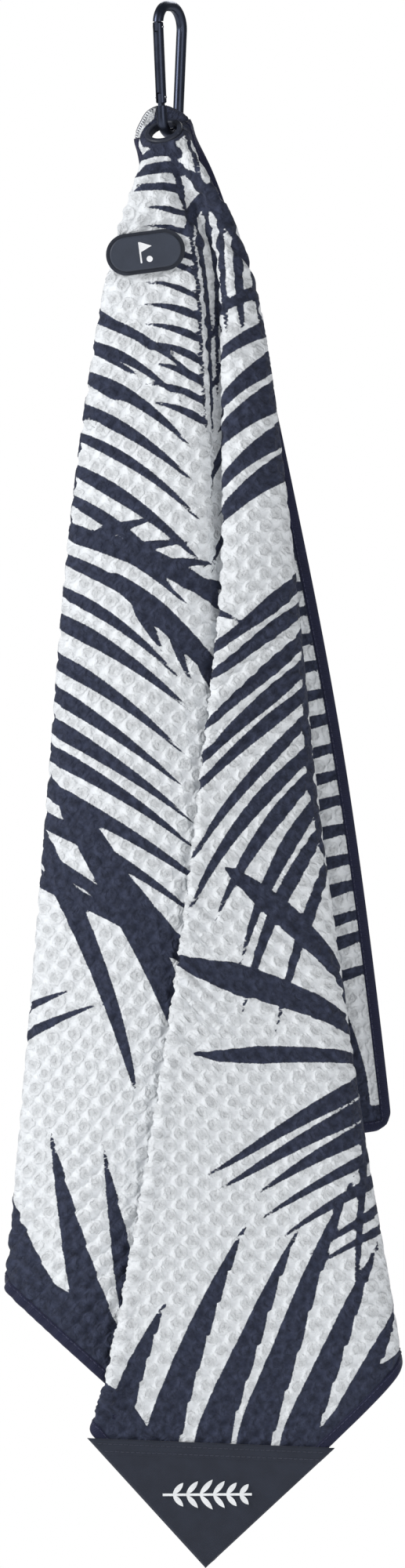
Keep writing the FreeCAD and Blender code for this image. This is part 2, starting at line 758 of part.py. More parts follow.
PATCH_TURN = math.radians(dim("patch_turn"))
PATCH_BACK = dim("binding_thickness") / 2 + 0.05
PATCH_OUT = Vector(math.sin(PATCH_TURN), -math.cos(PATCH_TURN), 0)
PATCH_TIP = Vector(18, -20, dim("corner_height") - math.sqrt(hem_distance(45.0) ** 2 - 18 ** 2 - 20 ** 2))
PATCH = frame_from_axes(PATCH_TIP + PATCH_OUT * PATCH_BACK,
                        (math.cos(PATCH_TURN), math.sin(PATCH_TURN), 0), PATCH_OUT)
PATCH_RISE = dim("patch_leg") / math.sqrt(2)


def make_corner_patch():
    body = new_body("corner_patch")
    rise = PATCH_RISE
    inset = 0.8
    outline = add_sketch(body, "patch_outline", "XY_Plane",
                         polygon([(0, inset), (rise - inset, rise), (inset - rise, rise)]))
    pad = add_feature(body, "Pad", "patch_cloth", outline)
    pad.setExpression("Length", "dims.patch_thickness")
    body.Placement = PATCH
    return body


# Distances down from the patch's top edge.
TAPE_HIGH = 1.2
TAPE_LOW = 7.5
STITCH_ROWS = (2.5, 6.3)
EMBLEM_DROP = 21.0


def make_patch_hem():
    """Doubled strip along the patch's top edge."""
    body = new_body("patch_hem_tape")
    rise = PATCH_RISE
    low = rise - TAPE_LOW
    high = rise - TAPE_HIGH
    outline = add_sketch(body, "tape_outline", "XY_Plane",
                         polygon([(low - 3, low), (high - 3, high), (3 - high, high), (3 - low, low)]),
                         Vector(0, 0, dim("patch_thickness")))
    add_feature(body, "Pad", "tape", outline, Length=dim("tape_thickness"))
    body.Placement = PATCH
    return body


def make_patch_stitching():
    """Two rows of stitches on the tape, as a group of small solids."""
    length = dim("stitch_length")
    width = dim("stitch_width")
    height = dim("stitch_height")
    pitch = length + dim("stitch_gap")
    top = dim("patch_thickness") + dim("tape_thickness")
    stitches = []
    for drop in STITCH_ROWS:
        row = PATCH_RISE - drop
        reach = row - 5.0
        count = int(2 * reach / pitch)
        start = -count * pitch / 2
        for index in range(count):
            corner = Vector(start + index * pitch, row - width / 2, top)
            stitches.append(Part.makeBox(length, width, height, corner))
    return add_solid("patch_stitching", Part.makeCompound(stitches), PATCH)


LEAFLET_PAIRS = 6
LEAFLET_PITCH = 6.6
LEAFLET_REACH = 8.6
LEAFLET_BELLY = 1.3
STEM_WIDTH = 1.2


def make_patch_emblem():
    """Palm sprig: a stem and pairs of pointed leaflets, raised on the patch."""
    thickness = dim("emblem_thickness")
    length = dim("emblem_length")
    base = dim("patch_thickness")
    centre = PATCH_RISE - EMBLEM_DROP
    stem = Part.makeBox(length, STEM_WIDTH, thickness, Vector(-length / 2, centre - STEM_WIDTH / 2, base))
    leaflets = []
    for index in range(LEAFLET_PAIRS):
        root = -17.0 + index * LEAFLET_PITCH
        reach = LEAFLET_REACH - abs(index - 2) * 0.9
        for side in (-1, 1):
            base_point = Vector(root, centre, base)
            tip = Vector(root + reach * 0.75, centre + side * reach * 0.85, base)
            middle = (base_point + tip) * 0.5
            belly = (tip - base_point).cross(Vector(0, 0, 1)).normalize() * LEAFLET_BELLY
            outline = Part.Wire([
                Part.Arc(base_point, middle + belly, tip).toShape(),
                Part.Arc(tip, middle - belly, base_point).toShape(),
            ])
            leaflets.append(Part.Face(outline).extrude(Vector(0, 0, thickness)))
    return add_solid("patch_emblem", stem.fuse(leaflets).removeSplitter(), PATCH)


# ---------------------------------------------------------------- build and export

make_carabiner_frame()
make_carabiner_gate()
make_cross_pin("gate_hinge_pin", "hinge_pin_radius", 0.0)
make_cross_pin("gate_latch_pin", "latch_pin_radius", dim("gate_length") - dim("latch_pin_drop"))
make_gate_plunger()
make_gate_spring()
eyelet = make_grommet_front()
washer = make_grommet_back()
make_cloth_and_binding([eyelet, washer])
make_magnet_pad_cover()
make_pad_pictogram()
make_pad_magnet()
make_magnet_pad_back()
make_corner_patch()
make_patch_hem()
make_patch_stitching()
make_patch_emblem()
doc.recompute()

NODES = [
    "carabiner_frame", "carabiner_gate", "gate_hinge_pin", "gate_latch_pin", "gate_plunger", "gate_spring",
    "grommet_front", "grommet_back", "towel_front_panel", "towel_right_fold", "towel_left_fold",
    "edge_binding", "corner_overlock", "magnet_pad_cover", "pad_pictogram", "pad_ball_mark", "pad_magnet",
    "magnet_pad_back", "corner_patch", "patch_hem_tape", "patch_stitching", "patch_emblem",
]
for item in doc.Objects:
    if "Invalid" in item.State or "Error" in item.State:
        raise RuntimeError(item.Label + " failed: " + str(item.State))
for label in NODES:
    shape = doc.getObjectsByLabel(label)[0].Shape
    if shape.isNull() or not shape.isValid():
        raise RuntimeError(label + " has no valid shape")
    shape.exportStep(os.path.join("parts", label + ".step"))
    box = shape.BoundBox
    print(f"{label:18s} {len(shape.Solids)} solid  {shape.Volume:10.1f} mm3  x {box.XMin:7.1f} {box.XMax:7.1f}"
          f"  y {box.YMin:6.1f} {box.YMax:6.1f}  z {box.ZMin:7.1f} {box.ZMax:7.1f}")
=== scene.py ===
import math

import bpy
import numpy as np
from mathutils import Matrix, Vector


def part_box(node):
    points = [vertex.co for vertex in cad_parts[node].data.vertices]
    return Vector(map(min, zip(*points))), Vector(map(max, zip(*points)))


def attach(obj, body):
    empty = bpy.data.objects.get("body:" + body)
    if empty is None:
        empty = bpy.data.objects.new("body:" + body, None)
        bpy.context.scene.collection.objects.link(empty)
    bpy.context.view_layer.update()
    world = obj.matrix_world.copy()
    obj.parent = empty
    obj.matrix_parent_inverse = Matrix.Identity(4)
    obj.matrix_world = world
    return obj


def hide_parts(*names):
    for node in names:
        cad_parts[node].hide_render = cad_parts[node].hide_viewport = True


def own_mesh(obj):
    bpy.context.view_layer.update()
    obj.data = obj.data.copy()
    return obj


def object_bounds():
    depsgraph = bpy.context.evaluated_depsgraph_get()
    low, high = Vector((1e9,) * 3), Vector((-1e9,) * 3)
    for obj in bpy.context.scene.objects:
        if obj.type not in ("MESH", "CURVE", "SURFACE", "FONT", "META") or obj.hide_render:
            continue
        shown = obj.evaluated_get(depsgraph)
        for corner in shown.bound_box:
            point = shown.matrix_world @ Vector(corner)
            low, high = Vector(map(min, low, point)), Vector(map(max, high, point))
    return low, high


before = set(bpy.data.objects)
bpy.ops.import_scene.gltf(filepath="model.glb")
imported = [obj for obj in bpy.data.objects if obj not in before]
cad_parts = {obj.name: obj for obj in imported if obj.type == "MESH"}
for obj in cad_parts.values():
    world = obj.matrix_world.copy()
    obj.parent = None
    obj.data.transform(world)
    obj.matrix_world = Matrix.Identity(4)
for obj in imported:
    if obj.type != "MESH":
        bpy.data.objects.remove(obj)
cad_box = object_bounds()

MM = 0.001


# ---------------- stage

def add_object(name, data):
    piece = bpy.data.objects.new(name, data)
    bpy.context.collection.objects.link(piece)
    return piece


SKY_STRENGTH = 0.24
LIGHTS_AIM = (0.01, 0.0, -0.38)
LIGHTS = {  # place, (width, height) and watts
    "key": ((-1.9, -0.95, 0.7), (0.5, 0.8), 38),
    "fill": ((1.0, -2.0, 0.0), (1.0, 1.6), 13),
    "rim": ((0.3, 1.4, 0.9), (1.4, 0.6), 15),
}
FLOOR_DROP = 0.22
FLOOR_REACH = 3.0


def make_sky():
    """Soft light from all round; the camera itself sees plain white behind the object."""
    world = bpy.data.worlds.new("studio")
    world.use_nodes = True
    tree = world.node_tree
    soft = tree.nodes["Background"]
    soft.inputs["Color"].default_value = (0.95, 0.97, 1.0, 1.0)
    soft.inputs["Strength"].default_value = SKY_STRENGTH
    plain = tree.nodes.new("ShaderNodeBackground")
    plain.inputs["Color"].default_value = (1.0, 1.0, 1.0, 1.0)
    pick = tree.nodes.new("ShaderNodeMixShader")
    rays = tree.nodes.new("ShaderNodeLightPath")
    tree.links.new(rays.outputs["Is Camera Ray"], pick.inputs[0])
    tree.links.new(soft.outputs[0], pick.inputs[1])
    tree.links.new(plain.outputs[0], pick.inputs[2])
    tree.links.new(pick.outputs[0], tree.nodes["World Output"].inputs["Surface"])
    bpy.context.scene.world = world


def make_light(name, place, size, watts):
    data = bpy.data.lights.new(name, "AREA")
    data.shape = "RECTANGLE"
    data.size, data.size_y = size
    data.energy = watts
    light = add_object(name, data)
    light.location = place
    light.rotation_euler = (Vector(LIGHTS_AIM) - Vector(place)).to_track_quat("-Z", "Y").to_euler()


def make_floor():
    height = cad_box[0][2] - FLOOR_DROP
    corners = [(x * FLOOR_REACH, y * FLOOR_REACH, height) for x, y in ((-1, -1), (1, -1), (1, 1), (-1, 1))]
    mesh = bpy.data.meshes.new("floor")
    mesh.from_pydata(corners, [], [(0, 1, 2, 3)])
    floor = add_object("floor", mesh)
    paint = Shader("pale_floor", Base_Color=(0.86, 0.86, 0.86, 1.0), Roughness=0.8,
                   Emission_Color=(0.97, 0.98, 1.0, 1.0), Emission_Strength=0.32)
    mesh.materials.append(paint.material)


VIEW_HEIGHT = 0.7712
VIEW_CENTRE = (0.0160, -0.3800)
CAMERA_DISTANCE = 7.0


def make_camera():
    """Long lens straight along +Y; the frame is 517 by 2000 and covers VIEW_HEIGHT."""
    data = bpy.data.cameras.new("front")
    camera = add_object("front", data)
    data.sensor_fit = "VERTICAL"
    data.sensor_height = 24.0
    data.lens = data.sensor_height * CAMERA_DISTANCE / VIEW_HEIGHT
    data.clip_end = 60.0
    camera.location = (VIEW_CENTRE[0], -CAMERA_DISTANCE, VIEW_CENTRE[1])
    camera.rotation_euler = (math.pi / 2, 0, 0)
    bpy.context.scene.camera = camera


# ---------------- cloth: flat sheet

SIDE = 508 * MM
BASE_CELLS = 159
FINE_CELLS = 2 * BASE_CELLS
WAFFLE_PITCH = 5 * SIDE / FINE_CELLS
CORNERS = [(0.0, 0.0, 10.5 * MM), (SIDE, 0.0, 8 * MM), (0.0, SIDE, 8 * MM), (SIDE, SIDE, 3 * MM)]
EYELET_P = 22 * MM


def round_corner(u, v, corner_u, corner_v, radius):
    """Pull the grid lines of one corner in, so that the sheet's outline is an arc there."""
    away_u = np.sign(SIDE / 2 - corner_u)
    away_v = np.sign(SIDE / 2 - corner_v)
    x = np.clip((radius - (u - corner_u) * away_u) / radius, 0, 1)
    y = np.clip((radius - (v - corner_v) * away_v) / radius, 0, 1)
    x_round = x * np.sqrt(1 - y * y / 2)
    y_round = y * np.sqrt(1 - x * x / 2)
    return u + away_u * radius * (x - x_round), v + away_v * radius * (y - y_round)


def flat_sheet(cells):
    """Flat (u, v) of every grid point: u along the right-hand hem, v along the left-hand one."""
    line = np.linspace(0, SIDE, cells + 1)
    u, v = np.meshgrid(line, line, indexing="ij")
    for corner_u, corner_v, radius in CORNERS:
        u, v = round_corner(u, v, corner_u, corner_v, radius)
    return u, v


def unit(vectors):
    return vectors / np.maximum(np.linalg.norm(vectors, axis=-1, keepdims=True), 1e-12)


def down_and_across(u, v):
    """(d, c) in millimetres: down the diagonal from the grommet corner, and leftwards across it."""
    return (u + v) / math.sqrt(2) / MM, (v - u) / math.sqrt(2) / MM


# ---------------- cloth: hanging folds
# Each fold line is followed down the cloth. Its (x, y) in millimetres is given at these
# distances from the grommet corner; in between, the cloth is a smooth curve through them.

LEVELS = [60, 110, 210, 350, 500, 640, 718]
FOLD_LINES = {
    "right_hem": [(27, 7), (41, 14), (63, 24), (89, 33), (108, 41), (122, 44), (128, 44)],
    "back_fold_rear": [(24, 6), (20, 12), (2, 21), (-16, 28), (-45, 35), (-75, 38), (-92, 38)],
    "back_fold_front": [(23, 3.5), (19, 8), (1, 16), (-17, 23), (-46, 28), (-76, 31), (-93, 31)],
    "right_roll_rear": [(27, 0), (41, 2), (54, 5), (67, 10), (86, 13), (108, 13), (120, 13)],
    "right_roll_front": [(26.5, -6), (42, -7), (56, -8), (70, -8), (90, -8), (114, -8), (126, -8)],
    "right_lobe_mid": [(25, -12), (35, -13), (42, -15), (42, -20), (42, -21), (44, -22), (40, -22)],
    "right_lobe_edge": [(22, -13), (26, -14), (27, -15), (13, -24), (-7, -27), (-33, -28), (-50, -28)],
    "valley_right": [(20, -7), (25, -6), (27, -6), (33, -16), (12, -20), (-14, -21), (-28, -21)],
    "valley_left": [(11, -7), (17, -6), (21, -6), (33, -13), (12, -17), (-14, -18), (-28, -18)],
    "left_lobe_edge": [(8.5, -13), (15.8, -13), (19, -13), (4, -15), (-12, -17), (-40, -17), (-54, -17)],
    "left_lobe_mid": [(-8, -15), (-9, -15), (-14, -17), (-27, -17), (-42, -16), (-62, -14), (-76, -12)],
    "left_roll_front": [(-23, -11), (-33, -10), (-46.5, -9), (-58.5, -8), (-71, -7), (-85, -5), (-96, -4)],
    "left_roll_rear": [(-22.5, -5), (-32, -3), (-46, -1), (-58, 1), (-70, 2), (-84, 3), (-95, 4)],
    "inner_fold_front": [(-19, -2), (-16, 0), (-6, 3), (26, 4), (48, 6), (84, 6), (100, 6)],
    "inner_fold_rear": [(-18.5, 0.5), (-16, 3.5), (-6, 7), (26, 8.5), (48, 11), (84, 11), (100, 11)],
    "left_hem": [(-20, 2), (-24, 6), (-36, 12), (-46, 17), (-60, 22), (-83, 24), (-92, 25)],
}


def spline(knots, values, at):
    """Smooth curve through values at the knots (not evenly spaced), with no overshoot."""
    knots, values = np.asarray(knots, float), np.asarray(values, float)
    step = np.diff(knots)
    slope = np.diff(values, axis=0) / step[:, None]
    tangent = np.zeros_like(values)
    tangent[0], tangent[-1] = slope[0], slope[-1]
    before, after = slope[:-1], slope[1:]
    w_before = (2 * step[1:] + step[:-1])[:, None]
    w_after = (step[1:] + 2 * step[:-1])[:, None]
    same = before * after > 0
    safe_before = np.where(same, before, 1.0)
    safe_after = np.where(same, after, 1.0)
    mean = (w_before + w_after) / (w_before / safe_before + w_after / safe_after)
    tangent[1:-1] = np.where(same, mean, 0.0)
    span = np.clip(np.searchsorted(knots, at) - 1, 0, len(knots) - 2)
    width = step[span]
    t = ((at - knots[span]) / width)[:, None]
    width = width[:, None]
    a, b = values[span], values[span + 1]
    return ((2 * t ** 3 - 3 * t ** 2 + 1) * a + (t ** 3 - 2 * t ** 2 + t) * width * tangent[span]
            + (3 * t ** 2 - 2 * t ** 3) * b + (t ** 3 - t ** 2) * width * tangent[span + 1])


def section_curve(points, samples_per_span=14):
    """Centripetal Catmull-Rom curve through one section's fold points."""
    ends = np.vstack([2 * points[0] - points[1], points, 2 * points[-1] - points[-2]])
    curve = []
    for i in range(1, len(ends) - 2):
        p0, p1, p2, p3 = ends[i - 1:i + 3]
        t1 = np.linalg.norm(p1 - p0) ** 0.5
        t2 = t1 + np.linalg.norm(p2 - p1) ** 0.5
        t3 = t2 + np.linalg.norm(p3 - p2) ** 0.5
        t = np.linspace(t1, t2, samples_per_span, endpoint=False)[:, None]
        a1 = (t1 - t) / t1 * p0 + t / t1 * p1
        a2 = (t2 - t) / (t2 - t1) * p1 + (t - t1) / (t2 - t1) * p2
        a3 = (t3 - t) / (t3 - t2) * p2 + (t - t2) / (t3 - t2) * p3
        b1 = (t2 - t) / t2 * a1 + t / t2 * a2
        b2 = (t3 - t) / (t3 - t1) * a2 + (t - t1) / (t3 - t1) * a3
        curve.append((t2 - t) / (t2 - t1) * b1 + (t - t1) / (t2 - t1) * b2)
    curve.append(points[-1:])
    return np.vstack(curve)


def polar_drape(radii, angles):
    """(x, y) in millimetres of the hanging cloth, at each flat distance and flat angle."""
    lines = np.array([spline(LEVELS, places, radii) for places in FOLD_LINES.values()])
    plan = np.zeros((len(radii), len(angles), 2))
    for row in range(len(radii)):
        curve = section_curve(lines[:, row])
        run = np.concatenate([[0], np.cumsum(np.linalg.norm(np.diff(curve, axis=0), axis=1))])
        at = angles / 90.0 * run[-1]
        plan[row, :, 0] = np.interp(at, run, curve[:, 0])
        plan[row, :, 1] = np.interp(at, run, curve[:, 1])
    return plan


# Hung by a corner, the cloth gives along its bias and narrows as much across it.
BIAS_GIVE = 0.028

# The folds are worked out on rows from FAR_START to FAR_END down the cloth, in millimetres.
FAR_START, FAR_END, ROW_STEP = 60.0, 722.0, 4.0
ANGLE_STEPS = 540
HANG_TOP, HANG_TOP_SAG = -93.5, 6.0
NECK_SHARE = 0.45

# The lowest corner lies flat behind its patch, which faces a little to the side and leans.
TIP = (18.0, -20.0, -763.9)
TIP_LIFT = 1.0
PATCH_TURN = math.radians(7.04)
PATCH_LEAN = math.radians(2.6)
PATCH_OUT = np.array([math.sin(PATCH_TURN), -math.cos(PATCH_TURN), 0])
PATCH_LEVEL = np.array([math.cos(PATCH_TURN), math.sin(PATCH_TURN), 0])
PATCH_ACROSS = PATCH_LEVEL * math.cos(PATCH_LEAN) - np.array([0, 0, math.sin(PATCH_LEAN)])
PATCH_UP = PATCH_LEVEL * math.sin(PATCH_LEAN) + np.array([0, 0, math.cos(PATCH_LEAN)])


def far_model(u, v):
    """Where the folds put each flat point, in millimetres; good beyond the gathered corner."""
    radii = np.arange(FAR_START, FAR_END, ROW_STEP)
    angles = np.linspace(0, 90, ANGLE_STEPS + 1)
    plan = polar_drape(radii, angles)
    sideways = (np.diff(plan, axis=0) ** 2).sum(axis=2)
    fall = np.sqrt(np.clip(ROW_STEP ** 2 - sideways, (ROW_STEP / 2) ** 2, None)) * (1 + BIAS_GIVE)
    top = HANG_TOP - HANG_TOP_SAG * ((angles - 45) / 45) ** 2
    z = np.vstack([top[None], top[None] - np.cumsum(fall, axis=0)])

    r = np.hypot(u, v) / MM
    theta = np.degrees(np.arctan2(v, u))
    row = np.clip((r - FAR_START) / ROW_STEP, 0, len(radii) - 1.001)
    col = np.clip(theta / 90 * ANGLE_STEPS, 0, ANGLE_STEPS - 0.001)
    i, j = row.astype(int), col.astype(int)
    a, b = row - i, col - j

    def sample(field):
        return ((1 - a) * (1 - b) * field[i, j] + a * (1 - b) * field[i + 1, j]
                + (1 - a) * b * field[i, j + 1] + a * b * field[i + 1, j + 1])

    x, y, height = sample(plan[..., 0]), sample(plan[..., 1]), sample(z)
    shrink = np.clip(r / FAR_START, 0, 1)
    x = x * (NECK_SHARE + (1 - NECK_SHARE) * shrink)
    height = height + np.clip(FAR_START - r, 0, None)
    place = np.stack([x, y, height], axis=-1)
    rise = (2 * SIDE - u - v) / math.sqrt(2) / MM * (1 + BIAS_GIVE)
    side = (u - v) / math.sqrt(2) / MM * (1 - BIAS_GIVE)
    flat_tip = np.array(TIP) + side[..., None] * PATCH_ACROSS + (rise[..., None] + TIP_LIFT) * PATCH_UP
    share = tip_share(u, v)[..., None]
    return place * (1 - share) + flat_tip * share


def tip_share(u, v):
    """1 where the cloth lies flat behind the patch; past its left end the cloth folds under."""
    leftwards = down_and_across(u, v)[1]
    return smoothstep(160.0, 88.0, (2 * SIDE - u - v) / MM) * smoothstep(74.0, 54.0, leftwards)


EYELET_U = np.array([0.951, 0.0, 0.309])
EYELET_N = np.array([-0.256, -0.559, 0.788])
EYELET_V = unit(np.cross(EYELET_N, EYELET_U))
EYELET_CENTRE = np.array([-2.8, -4.6, -60.0])
SEAT_END, SEAT_HALF_WIDTH, FLAP_ROOT = 11.0, 10.5, 8.6


def corner_model(u, v):
    """The corner near the grommet, in millimetres: a flat seat, a flap behind it, sides that fall."""
    d, c = down_and_across(u, v)
    p, q = d - EYELET_P / MM, -c
    flap_normal = unit(np.array([-0.12, -0.99, 0.0]))
    flap_x = unit(EYELET_U - flap_normal * EYELET_U.dot(flap_normal))
    flap_up = np.cross(flap_normal, flap_x)
    seat = np.clip(p, -FLAP_ROOT, SEAT_END)
    flap = np.clip(-FLAP_ROOT - p, 0, None)
    hang = np.clip(p - SEAT_END, 0, None)
    inner = np.clip(q, -SEAT_HALF_WIDTH, SEAT_HALF_WIDTH)
    outer = q - inner
    place = (EYELET_CENTRE + inner[..., None] * EYELET_U - seat[..., None] * EYELET_V
             + flap[..., None] * flap_up + hang[..., None] * np.array([0.0, -0.03, -1.0]))
    spread = np.where(outer > 0, 0.35, 0.02) * outer
    fallen = np.stack([spread, 0.25 * np.abs(outer), -0.9 * np.abs(outer)], axis=-1)
    level = outer[..., None] * EYELET_U
    standing = smoothstep(-7.0, -9.0, p)[..., None]
    return place + fallen * (1 - standing) + level * standing, p, q


def smoothstep(low, high, value):
    t = np.clip((value - low) / (high - low), 0, 1)
    return t * t * (3 - 2 * t)


RELAX_ROUNDS, QUICK_ROUNDS = 260, 60
# Steps along the grid to the neighbour, stiffness, and whether the link only pushes apart.
LINKS = [(1, 0, 1.0, False), (0, 1, 1.0, False), (1, 1, 0.3, False), (1, -1, 0.3, False),
         (2, 0, 0.25, True), (0, 2, 0.25, True)]


def relax(points, u, v, hold, target, rounds):
    """Let the sheet find its cut lengths again, held near its target by the weights in hold."""
    down = (u + v) * (1 + BIAS_GIVE) / 2 / MM
    across = (u - v) * (1 - BIAS_GIVE) / 2 / MM
    flat = np.stack([down + across, down - across], axis=-1)
    families = []
    n = points.shape[0]
    for di, dj, stiff, only_push in LINKS:
        a = (slice(0, n - di), slice(max(0, -dj), n - max(0, dj)))
        b = (slice(di, n), slice(max(0, dj), n + min(0, dj)))
        rest = np.linalg.norm(flat[b] - flat[a], axis=-1)
        families.append((a, b, rest, stiff * 0.25, only_push))
    for _ in range(rounds):
        for a, b, rest, gain, only_push in families:
            gap = points[b] - points[a]
            length = np.linalg.norm(gap, axis=-1)
            error = length - rest
            if only_push:
                error = np.minimum(error, 0)
            move = gap * (gain * error / np.maximum(length, 1e-6))[..., None]
            points[a] += move
            points[b] -= move
        points += (target - points) * hold[..., None]
    return points


# The magnet pad grips the cloth between its cover and its back plate, in millimetres.
PAD_CENTRE = (-12.0, -119.0)
PAD_TILT = math.radians(7.5)
PAD_GRIP_Y = -12.0
PAD_HALF_LENGTH, PAD_RADIUS = 19.5, 10.25
PAD_REACH = 200


def press_under_pad(points, u, v):
    """Draw the front of the left lobe back to the plane where the pad holds it."""
    dx, dz = points[..., 0] - PAD_CENTRE[0], points[..., 2] - PAD_CENTRE[1]
    along = dx * math.cos(PAD_TILT) + dz * math.sin(PAD_TILT)
    across = dz * math.cos(PAD_TILT) - dx * math.sin(PAD_TILT)
    beyond = np.hypot(np.clip(np.abs(along) - PAD_HALF_LENGTH + PAD_RADIUS, 0, None), across) - PAD_RADIUS
    share = smoothstep(9.0, 0.5, beyond) * smoothstep(-2.0, -5.0, points[..., 1])
    share *= down_and_across(u, v)[0] < PAD_REACH
    points[..., 1] += (PAD_GRIP_Y - points[..., 1]) * share
    return points


def hanging_sheet():
    """The middle surface of the cloth as it hangs, on the base grid, in metres."""
    u, v = flat_sheet(BASE_CELLS)
    far = far_model(u, v)
    near, p, q = corner_model(u, v)
    r = np.hypot(u, v) / MM
    far_share = smoothstep(34, 78, r)[..., None]
    start = near * (1 - far_share) + far * far_share
    seat = smoothstep(13.5, 10.5, np.hypot(p, q))
    flap = smoothstep(-6, -9, p) * smoothstep(14.5, 12.5, np.abs(q))
    hold = np.maximum(np.maximum(seat, flap), 0.03 * smoothstep(60, 110, r))
    share = tip_share(u, v)
    hold *= 1 - 0.9 * np.sqrt(4 * share * (1 - share))
    hold = np.maximum(hold, 0.3 * smoothstep(0.8, 1.0, share))
    points = relax(start.copy(), u, v, hold, start, RELAX_ROUNDS)
    return press_under_pad(points, u, v) * MM


def refine(grid):
    """Twice as many cells each way, by cubic midpoints."""
    for axis in (0, 1):
        grid = np.moveaxis(grid, axis, 0)
        n = grid.shape[0]
        padded = np.concatenate([2 * grid[:1] - grid[1:2], grid, 2 * grid[-1:] - grid[-2:-1]])
        middle = (9 * (padded[1:n] + padded[2:n + 1]) - padded[0:n - 1] - padded[3:n + 2]) / 16
        out = np.empty((2 * n - 1,) + grid.shape[1:])
        out[0::2] = grid
        out[1::2] = middle
        grid = np.moveaxis(out, 0, axis)
    return grid


def grid_normals(points):
    """Unit normals that point out of the printed face."""
    return unit(np.cross(np.gradient(points, axis=0), np.gradient(points, axis=1)))


# ---------------- cloth: leaf print
# Flat places on the cloth are (c, d) in millimetres, as down_and_across() measures them.
# Angles are from straight down the diagonal, positive to the left.

SOLID = 30.0
CURVE_STEPS = 20
TEETH = 9


def aim(degrees):
    turn = math.radians(degrees)
    return np.array([math.sin(turn), math.cos(turn)])


def bent_line(start, middle, end, t):
    return (1 - t) ** 2 * start + 2 * t * (1 - t) * middle + t ** 2 * end


def leaf(base, tip, half_width, curl=0.0, taper=0.8, torn=0.0, root=0.5):
    """One leaflet: a bent spindle from base to tip; root is its width share at the base."""
    base, tip = np.asarray(base, float), np.asarray(tip, float)
    along = tip - base
    side = np.array([along[1], -along[0]])
    return base, (base + tip) / 2 + side * curl, tip, half_width, taper, torn, root


def frond(start, end, bow, count, side, lean, length, half_width, curl, seed, stalk=1.2):
    """A bent stalk with leaflets on one side; lean, length and half_width run from start to end."""
    rng = np.random.default_rng(seed)
    start, end = np.asarray(start, float), np.asarray(end, float)
    along = end - start
    middle = (start + end) / 2 + np.array([along[1], -along[0]]) * bow
    leaves = [(start, middle, end, stalk, 0.25, 0.0, 0.5)]
    for index in range(count):
        t = (index + 0.5 + rng.uniform(-0.12, 0.12)) / count
        place = bent_line(start, middle, end, t)
        heading = 2 * (1 - t) * (middle - start) + 2 * t * (end - middle)
        turn = math.degrees(math.atan2(heading[0], heading[1]))
        angle = turn + side * (lean[0] + (lean[1] - lean[0]) * t + rng.uniform(-3, 3))
        reach = (length[0] + (length[1] - length[0]) * t) * rng.uniform(0.88, 1.1)
        width = (half_width[0] + (half_width[1] - half_width[0]) * t) * rng.uniform(0.85, 1.15)
        bend = side * curl * rng.uniform(0.7, 1.3)
        leaves.append(leaf(place, place + aim(angle) * reach, width, bend, 0.75))
    return leaves


